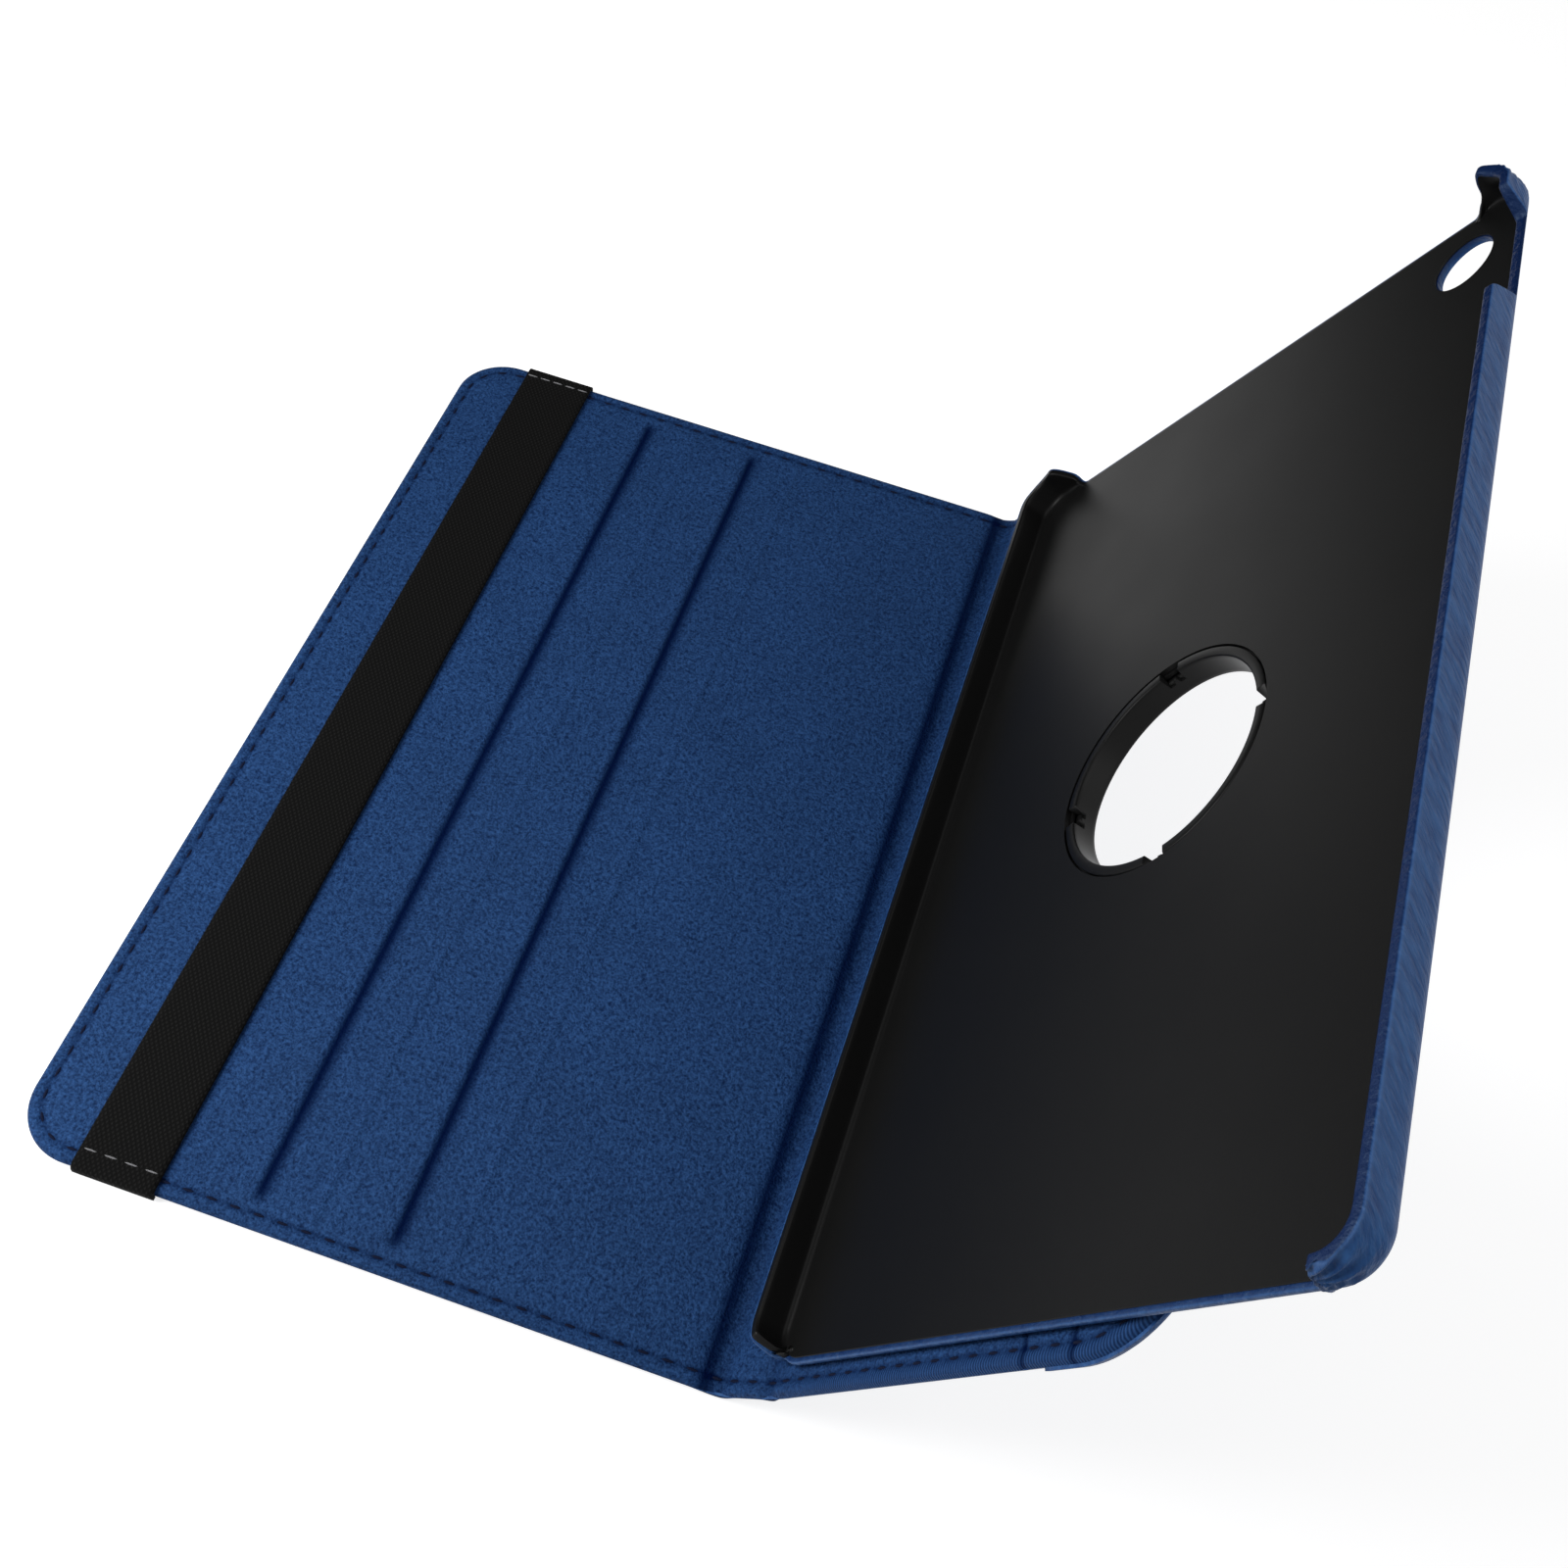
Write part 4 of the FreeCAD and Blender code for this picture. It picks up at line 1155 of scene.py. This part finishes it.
def wrapped(profile, gathered=False):
    """A wall round the tray, from functions that give a row's inset and level for a rim height and wrap."""
    sizes = settings()
    rows = outline_rows()
    bm, numbered = new_grid(len(rows) - 1, len(profile) - 1, ("painted_shade", "rim_highlight"))
    painted_shade, rim_highlight = bm.verts.layers.float["painted_shade"], bm.verts.layers.float["rim_highlight"]
    last = []
    for vertex, column, row in numbered:
        travelled = rows[column % (len(rows) - 1)]
        point, outward = tray_outline(travelled)
        opened, at_end = openness(point, outward)
        rim = TRAY_HIGH.z - opened * (TRAY_HIGH.z - TRAY_LOW.z - sizes.tray_floor)
        reach = wrap_reach(point, opened, at_end)
        if at_end:
            rim += lip_rise(point) * (1 - opened)
        elif gathered:
            reach += sizes.cut_wrap * opened
            rim += CUT_RISE * opened
        inset, level = profile[row](rim, reach)
        if level > rim - RIM_BAND * sizes.rim_round:
            # Painted shade over the rim's top, less where the wrap is thin, and a painted highlight along its outer
            # edge.
            wide = smooth_step((reach - THIN_WRAP) / THIN_FADE)
            vertex[painted_shade] = smooth_step(inset / RIM_SHADE_INSET - 1) * wide
            vertex[rim_highlight] = HIGHLIGHT_SHARE * bump(inset - HIGHLIGHT_WIDTH, HIGHLIGHT_WIDTH)
        if gathered and not at_end:
            inset = max(inset, back_curve(level))
        if gathered and inset < sizes.rim_round:
            over_back = smooth_step((level - TRAY_LOW.z) / PLEAT_FADE)
            inset -= pleats(travelled, TRAY_HIGH.z - level) * over_back
        point = point - inset * outward
        if at_end:
            step = sizes.end_step if point.y > 0 else sizes.near_step
            point.y -= math.copysign(step * smooth_step(STEP_STEEP * opened - STEP_BASE), point.y)
            point.x -= lip_lean(point, level)
        vertex.co = Vector((point.x, point.y, level))
        if row == len(profile) - 1:
            last.append(vertex)
    bmesh.ops.remove_doubles(bm, verts=bm.verts, dist=MERGE)
    return bm, {v for v in last if v.is_valid}


def fill_face(bm, verts, holes, level):
    """Fill a flat face inside a closed loop, round circular holes given by centre and radius."""
    edges = [e for e in bm.edges if e.is_boundary and e.verts[0] in verts and e.verts[1] in verts]
    rims = []
    for centre, radius in holes:
        made = bmesh.ops.create_circle(bm, segments=HOLE_SEGMENTS, radius=radius,
                                       matrix=Matrix.Translation((centre.x, centre.y, level)))
        rims.append(list(dict.fromkeys(e for v in made["verts"] for e in v.link_edges)))
    loops = edges + [edge for rim in rims for edge in rim]
    bmesh.ops.triangle_fill(bm, use_beauty=True, edges=loops)
    for edge in loops:
        edge.smooth = False
    return rims


def sink(bm, edges, depth, scale=1.0, centre=None):
    """Carry a loop of edges straight down, and in towards a centre."""
    made = bmesh.ops.extrude_edge_only(bm, edges=edges)["geom"]
    verts = [item for item in made if isinstance(item, bmesh.types.BMVert)]
    for vertex in verts:
        vertex.co.z -= depth
        if centre is not None:
            vertex.co.xy = centre.xy + scale * (vertex.co.xy - centre.xy)
    return [item for item in made if isinstance(item, bmesh.types.BMEdge)]


def largest_at(level):
    """A function that picks the largest of the faces at a level."""
    def pick(faces):
        """The largest face at the level."""
        flat = [face for face in faces if abs(face.calc_center_median().z - level) < LEVEL_SLACK]
        return max(flat, key=lambda face: face.calc_area())
    return pick


def camera_centre():
    """Middle of the camera opening in the flap's axes."""
    sizes = settings()
    return Vector((TRAY_HIGH.x - sizes.camera_side, TRAY_HIGH.y - sizes.end_step - sizes.camera_end, 0))


class FOLIO_OT_tray_shell(bpy.types.Operator):
    """Mould the black tray: inner walls, floor, ring seat and camera opening"""
    bl_idname = "folio.tray_shell"
    bl_label = "Tray shell"

    def execute(self, context):
        sizes = settings()
        floor = TRAY_LOW.z + sizes.tray_floor
        bm, last = wrapped(self.profile(floor))
        camera = camera_centre()
        seat_radius = sizes.ring_lip + sizes.ring_gap
        holes = [(RING_CENTRE, seat_radius), (camera, sizes.camera_radius + CAMERA_STEP)]
        ring_rim, camera_rim = fill_face(bm, last, holes, floor)
        seat = sink(bm, ring_rim, SEAT_DEPTH)
        seat = sink(bm, seat, 0, (sizes.ring_lip - SEAT_LEDGE) / seat_radius, RING_CENTRE)
        sink(bm, seat, floor - TRAY_LOW.z - SEAT_DEPTH)
        sink(bm, camera_rim, CAMERA_EDGE)
        set_facing(bm, True, largest_at(floor))
        bmesh.ops.transform(bm, matrix=FLAP, verts=bm.verts)
        piece = add_piece("tray_shell_moulding", bm, "tray_plastic", ["tray_shell"],
                          SHELL_WALL)
        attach(piece, "tray")
        return {"FINISHED"}

    def profile(self, floor):
        """From the skin's edge on the rim, down the inner wall and round to the floor."""
        sizes = settings()
        wall, hollow, soft = sizes.tray_wall, sizes.floor_hollow, sizes.rim_round

        def start(wrap):
            """Inset of the moulding's upper edge, under the edge of the skin."""
            return wrap - UNDER_SKIN

        def sunk(wrap):
            """How far that edge lies under the rim: more where the skin turns down inside the wall."""
            return EDGE_SUNK + EDGE_TURNED * smooth_step((wrap - TURNED_FROM) / TURNED_OVER)

        def over(share):
            """On the rim, from the skin's edge to the inner wall."""
            return lambda rim, wrap: (start(wrap) + share * max(0.0, wall - soft - start(wrap)),
                                      max(floor, rim - (RIM_SUNK + RIM_SLOPE * share) * sunk(wrap)))

        def turned(angle):
            """Round the rim's inner edge."""
            drop = TURN_SUNK + TURN_SLOPE * angle
            return lambda rim, wrap: (max(start(wrap), wall - soft + soft * math.sin(angle)),
                                      max(floor, min(rim - soft + soft * math.cos(angle),
                                                     rim - drop * sunk(wrap))))

        def height(rim, wrap):
            """Height of the inner wall under its rounded edge."""
            return max(0.0, rim - floor - max(soft, WALL_SUNK * sunk(wrap)))

        def foot(rim, wrap):
            """Height of the hollow at the foot of the inner wall."""
            return min(hollow, FOOT_SHARE * height(rim, wrap))

        def down(share):
            """Down the inner wall."""
            return lambda rim, wrap: (wall, floor + (1 - share) * height(rim, wrap)
                                      + share * foot(rim, wrap))

        def into_floor(angle):
            """Round the hollow between wall and floor."""
            return lambda rim, wrap: (wall + hollow * (1 - math.cos(angle)),
                                      floor + foot(rim, wrap) * (1 - math.sin(angle)))

        rows = [over(0), over(0.5)]
        rows += [turned(angle) for angle in quarter_turn(4)]
        rows += [down(k / 6) for k in range(1, 6)]
        rows += [into_floor(angle) for angle in quarter_turn(7)]
        return rows


class FOLIO_OT_tray_skin(bpy.types.Operator):
    """Wrap the tray's outside, rim and cut edges in skin"""
    bl_idname = "folio.tray_skin"
    bl_label = "Tray skin"

    def execute(self, context):
        sizes = settings()
        back = TRAY_LOW.z
        bm, last = wrapped(self.profile(back), gathered=True)
        camera = camera_centre()
        holes = [(RING_CENTRE, SKIN_RING), (camera, sizes.camera_radius)]
        camera_rim = fill_face(bm, last, holes, back)[1]
        painted_shade = bm.verts.layers.float["painted_shade"]
        # Painted shade on the wall of the camera opening.
        for edge in sink(bm, camera_rim, CAMERA_LINE - sizes.tray_floor):
            for vertex in edge.verts:
                vertex[painted_shade] = 1
        set_facing(bm, False, largest_at(back))
        bmesh.ops.transform(bm, matrix=FLAP, verts=bm.verts)
        piece = add_piece("tray_skin_wrap", bm, "pu_skin", ["tray_skin"], sizes.cloth)
        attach(piece, "tray")
        return {"FINISHED"}

    def profile(self, back):
        """From the skin's edge on the rim, over the outer wall and round to the back."""
        sizes = settings()
        soft = sizes.rim_round

        def back_round(rim):
            """Radius of the back edge, less where the wall is cut low."""
            return min(sizes.tray_round, BACK_SHARE * (rim - back))

        def inner_round(wrap):
            """Radius of the skin's inner edge, less where it is narrow."""
            return min(soft, INNER_SHARE * wrap)

        def outer_round(wrap):
            """Width of the rim's outer edge, less where the skin is narrow."""
            return min(soft, OUTER_SHARE * wrap)

        def tucked(rim, wrap):
            """The hidden edge, turned down."""
            return wrap, rim - inner_round(wrap) - TUCKED

        def curled(angle):
            """Round the skin's inner edge."""
            return lambda rim, wrap: (wrap - inner_round(wrap) * (1 - math.cos(angle)),
                                      rim - inner_round(wrap) * (1 - math.sin(angle)))

        def over(rim, wrap):
            """The middle of the rim."""
            return (wrap - inner_round(wrap) + outer_round(wrap)) / 2, rim

        def turned(angle):
            """Round the rim's outer edge."""
            return lambda rim, wrap: (outer_round(wrap) * (1 - math.sin(angle)),
                                      rim - soft + soft * math.cos(angle))

        def down(share):
            """Down the outer wall."""
            return lambda rim, wrap: (0.0, rim - soft - share * (rim - soft - back - back_round(rim)))

        def under(angle):
            """Round the back edge."""
            return lambda rim, wrap: (back_round(rim) * (1 - math.cos(angle)),
                                      back + back_round(rim) * (1 - math.sin(angle)))

        rows = [tucked]
        rows += [curled(angle) for angle in quarter_turn(4)]
        rows += [over]
        rows += [turned(angle) for angle in quarter_turn(5)]
        rows += [down(k / 18) for k in range(1, 18)]
        rows += [under(angle) for angle in quarter_turn(8)]
        return rows


# Rings
RING_SOFT = 0.0003
CORNER_CUT = 0.3
SNAP_LIP = 0.0008
SNAP_ROWS = 8
SNAP_COLUMNS = 720
REAR_COLUMNS = 240
REAR_FIT = 0.00005
REAR_ROUND = 0.0005
REAR_SHY = 0.00015
NOTCH_CLOCK = math.radians(10)


def ring_mesh(profile, columns, notched=None):
    """A ring turned from a closed profile of radius and level; notched draws a point into a notch."""
    bm, numbered = new_grid(columns, len(profile))
    for vertex, column, row in numbered:
        angle = 2 * math.pi * (column % columns) / columns
        radius, level = profile[row % len(profile)]
        if notched:
            radius, level = notched(angle, radius, level)
        vertex.co = RING_CENTRE + Vector((radius * math.cos(angle), radius * math.sin(angle), level))
    bmesh.ops.remove_doubles(bm, verts=bm.verts, dist=MERGE)
    bmesh.ops.recalc_face_normals(bm, faces=bm.faces)
    bmesh.ops.transform(bm, matrix=FLAP, verts=bm.verts)
    return bm


class FOLIO_OT_rings(bpy.types.Operator):
    """Turn the notched snap ring and the rear ring"""
    bl_idname = "folio.rings"
    bl_label = "Rings"

    def execute(self, context):
        sizes = settings()
        top, rear = RING_HIGH.z, RING_LOW.z
        soft, shy = RING_SOFT, RING_SOFT * CORNER_CUT
        bore, collar, lip = sizes.ring_bore, sizes.ring_collar, sizes.ring_lip
        lip_low = top - SNAP_LIP
        tall = top - rear - 2 * soft
        levels = [rear + soft + tall * k / SNAP_ROWS for k in range(SNAP_ROWS + 1)]
        snap = [(bore, level) for level in levels]
        snap += [(bore + shy, top - shy), (bore + soft, top), (lip - soft, top)]
        snap += [(lip - shy, top - shy), (lip, top - soft), (lip, lip_low), (collar, lip_low)]
        snap += [(collar, rear + soft), (collar - soft, rear), (bore + soft, rear)]
        quarter = math.pi / 2
        notch_floor = top - sizes.notch_depth

        def notched(angle, radius, level):
            """Lower the ring between two fingers to the notch's floor and its tongue."""
            offset = abs((angle - NOTCH_CLOCK + quarter / 2) % quarter - quarter / 2) * bore
            if offset > sizes.notch_width / 2:
                return radius, level
            lowered = notch_floor + sizes.tongue_height * (offset < sizes.tongue_width / 2)
            return min(radius, collar), min(level, lowered)

        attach(add_piece("snap_ring_turned", ring_mesh(snap, SNAP_COLUMNS, notched), "ring_plastic",
                          ["snap_ring"]), "flap_end")
        rear_low, rear_high = flap_box("rear_ring")
        inner, sleeve, flange = collar + REAR_FIT, sizes.window_radius, sizes.ring_flange
        under, low = -PANEL_RISE, rear_low.z
        back = [(inner, low), (flange - REAR_ROUND, low), (flange - REAR_SHY, low + REAR_SHY)]
        back += [(flange, low + REAR_ROUND), (flange, under), (sleeve, under), (sleeve, rear_high.z)]
        back += [(inner, rear_high.z)]
        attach(add_piece("rear_ring_turned", ring_mesh(back, REAR_COLUMNS), "ring_plastic", ["rear_ring"]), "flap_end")
        return {"FINISHED"}


class FOLIO_OT_nodes(bpy.types.Operator):
    """Give the pieces kept from the frame their finishes"""
    bl_idname = "folio.nodes"
    bl_label = "Inner pieces"

    def execute(self, context):
        boards = ("front_cover_board", "spine_board", "leg_board", "flap_end_board", "stand_strip_one",
                  "stand_strip_two")
        for node in boards:
            self.dress(node, "panel_board")
        self.dress("glide_washer", "ring_plastic")
        return {"FINISHED"}

    def dress(self, node, finish_name):
        """Put one finish on a node."""
        mesh = frame["nodes"][node].data
        mesh.materials.clear()
        mesh.materials.append(finish(finish_name))


# Studio
FLOOR_GAP = 0.0003
FLAG_HALF = 0.5


def add_area_light(name, place, target, size, power):
    """A soft square lamp aimed at a point."""
    lamp = bpy.data.lights.new(name, "AREA")
    lamp.shape = "SQUARE"
    lamp.size = size
    lamp.energy = power
    light = bpy.data.objects.new(name, lamp)
    light.location = place
    light.visible_camera = False
    light.rotation_euler = (Vector(target) - Vector(place)).to_track_quat("-Z", "Y").to_euler()
    bpy.context.scene.collection.objects.link(light)


def seen_or_mirrored(tree):
    """1 for what the camera sees straight, mirrored or through glass, and 0 for light on surfaces."""
    path = tree.nodes.new("ShaderNodeLightPath")
    seen = path.outputs["Is Camera Ray"]
    for ray in ("Is Glossy Ray", "Is Transmission Ray"):
        either = tree.nodes.new("ShaderNodeMath")
        either.operation = "MAXIMUM"
        tree.links.new(seen, either.inputs[0])
        tree.links.new(path.outputs[ray], either.inputs[1])
        seen = either.outputs[0]
    return seen


# Camera: place in metres, the picture's right and down, and the lens on a 36 mm sensor
CAMERA_PLACE = Vector((0.08752200, -0.23030212, 0.38379383))
CAMERA_RIGHT = Vector((0.94751208, 0.30242400, 0.10373321))
CAMERA_DOWN = Vector((0.30872135, -0.78105414, -0.54281263))
CAMERA_LENS = 41.51


class FOLIO_OT_stage(bpy.types.Operator):
    """Set the camera, the pale floor and the soft studio light"""
    bl_idname = "folio.stage"
    bl_label = "Stage"

    def execute(self, context):
        self.add_camera()
        self.add_floor()
        self.add_world()
        middle = (0, 0, 0.03)
        add_area_light("key", (-0.30, -0.15, 0.34), middle, size=0.25, power=2.2)
        add_area_light("fill", (0.60, 0.05, 0.75), middle, size=0.6, power=2.0)
        self.add_flag()
        context.scene.view_settings.view_transform = "Standard"
        return {"FINISHED"}

    def add_camera(self):
        """The camera at the viewing angle of the picture."""
        camera = bpy.data.cameras.new("camera")
        camera.sensor_width = 36.0
        camera.lens = CAMERA_LENS
        camera.clip_start = 0.01
        view = bpy.data.objects.new("camera", camera)
        up = -CAMERA_DOWN
        turned = Matrix((CAMERA_RIGHT, up, CAMERA_RIGHT.cross(up))).transposed().to_4x4()
        view.matrix_world = Matrix.Translation(CAMERA_PLACE) @ turned
        bpy.context.scene.collection.objects.link(view)
        bpy.context.scene.camera = view

    def add_floor(self):
        """A wide pale floor just under the cover, white where it is seen or mirrored."""
        bm = bmesh.new()
        bmesh.ops.create_grid(bm, x_segments=1, y_segments=1, size=4)
        mesh = bpy.data.meshes.new("floor")
        bm.to_mesh(mesh)
        bm.free()
        mesh.transform(Matrix.Translation((0, 0, CAD_BOX[0].z - FLOOR_GAP)))
        material, tree, shader = new_material("floor")
        shader.inputs["Base Color"].default_value = (*colours().floor, 1)
        shader.inputs["Roughness"].default_value = 0.9
        shader.inputs["Specular IOR Level"].default_value = 0.1
        shader.inputs["Emission Color"].default_value = (1, 1, 1, 1)
        glow = add_node(tree, "ShaderNodeMapRange", To_Max=0.74)
        tree.links.new(seen_or_mirrored(tree), glow.inputs["Value"])
        tree.links.new(glow.outputs["Result"], shader.inputs["Emission Strength"])
        mesh.materials.append(material)
        floor = bpy.data.objects.new("floor", mesh)
        bpy.context.scene.collection.objects.link(floor)

    def add_flag(self):
        """A dark card beyond the cover's far corner, seen only in the tray's sheen."""
        bm = bmesh.new()
        bmesh.ops.create_grid(bm, x_segments=1, y_segments=1, size=FLAG_HALF)
        low, high = Vector((-0.35, 0.05, 0)), Vector((0.25, 0.75, 0))
        along = (high - low).normalized()
        upright = Matrix((along, (0, 0, 1), along.cross((0, 0, 1)))).transposed().to_4x4()
        mesh = bpy.data.meshes.new("flag")
        bm.to_mesh(mesh)
        bm.free()
        mesh.transform(Matrix.Translation((low + high) / 2 + Vector((0, 0, FLAG_HALF))) @ upright)
        material, _, shader = new_material("flag")
        shader.inputs["Base Color"].default_value = (0.01, 0.01, 0.01, 1)
        shader.inputs["Roughness"].default_value = 1.0
        shader.inputs["Specular IOR Level"].default_value = 0.0
        mesh.materials.append(material)
        flag = bpy.data.objects.new("flag", mesh)
        flag.visible_camera = False
        flag.visible_diffuse = False
        flag.visible_shadow = False
        bpy.context.scene.collection.objects.link(flag)

    def add_world(self):
        """Even light from all round, and plain white where it is seen or mirrored."""
        world = bpy.data.worlds.new("studio")
        world.use_nodes = True
        bpy.context.scene.world = world
        tree = world.node_tree
        backdrop = tree.nodes["Background"]
        backdrop.inputs["Color"].default_value = (1, 1, 1, 1)
        level = add_node(tree, "ShaderNodeMapRange", To_Min=0.25, To_Max=1.0)
        tree.links.new(seen_or_mirrored(tree), level.inputs["Value"])
        tree.links.new(level.outputs["Result"], backdrop.inputs["Strength"])


OPERATORS = (FOLIO_OT_panels, FOLIO_OT_seams, FOLIO_OT_strap, FOLIO_OT_tray_shell, FOLIO_OT_tray_skin,
             FOLIO_OT_rings, FOLIO_OT_nodes, FOLIO_OT_stage)


class FOLIO_PT_panel(bpy.types.Panel):
    """Lists the folio's pieces"""
    bl_label = "Tablet folio"
    bl_idname = "FOLIO_PT_panel"
    bl_space_type = "VIEW_3D"
    bl_region_type = "UI"
    bl_category = "Folio"

    def draw(self, context):
        for operator in OPERATORS:
            self.layout.operator(operator.bl_idname)
        for group in (context.scene.folio_sizes, context.scene.folio_colours):
            for name in group.__annotations__:
                self.layout.prop(group, name)


CLASSES = (FolioSizes, FolioColours, *OPERATORS, FOLIO_PT_panel)


def register():
    for item in CLASSES:
        bpy.utils.register_class(item)
    bpy.types.Scene.folio_sizes = PointerProperty(type=FolioSizes)
    bpy.types.Scene.folio_colours = PointerProperty(type=FolioColours)


def unregister():
    del bpy.types.Scene.folio_colours
    del bpy.types.Scene.folio_sizes
    for item in reversed(CLASSES):
        bpy.utils.unregister_class(item)


def main():
    """Register the add-on and make every piece in order."""
    register()
    for operator in OPERATORS:
        group, name = operator.bl_idname.split(".")
        getattr(getattr(bpy.ops, group), name)()


if __name__ == "__main__":
    main()
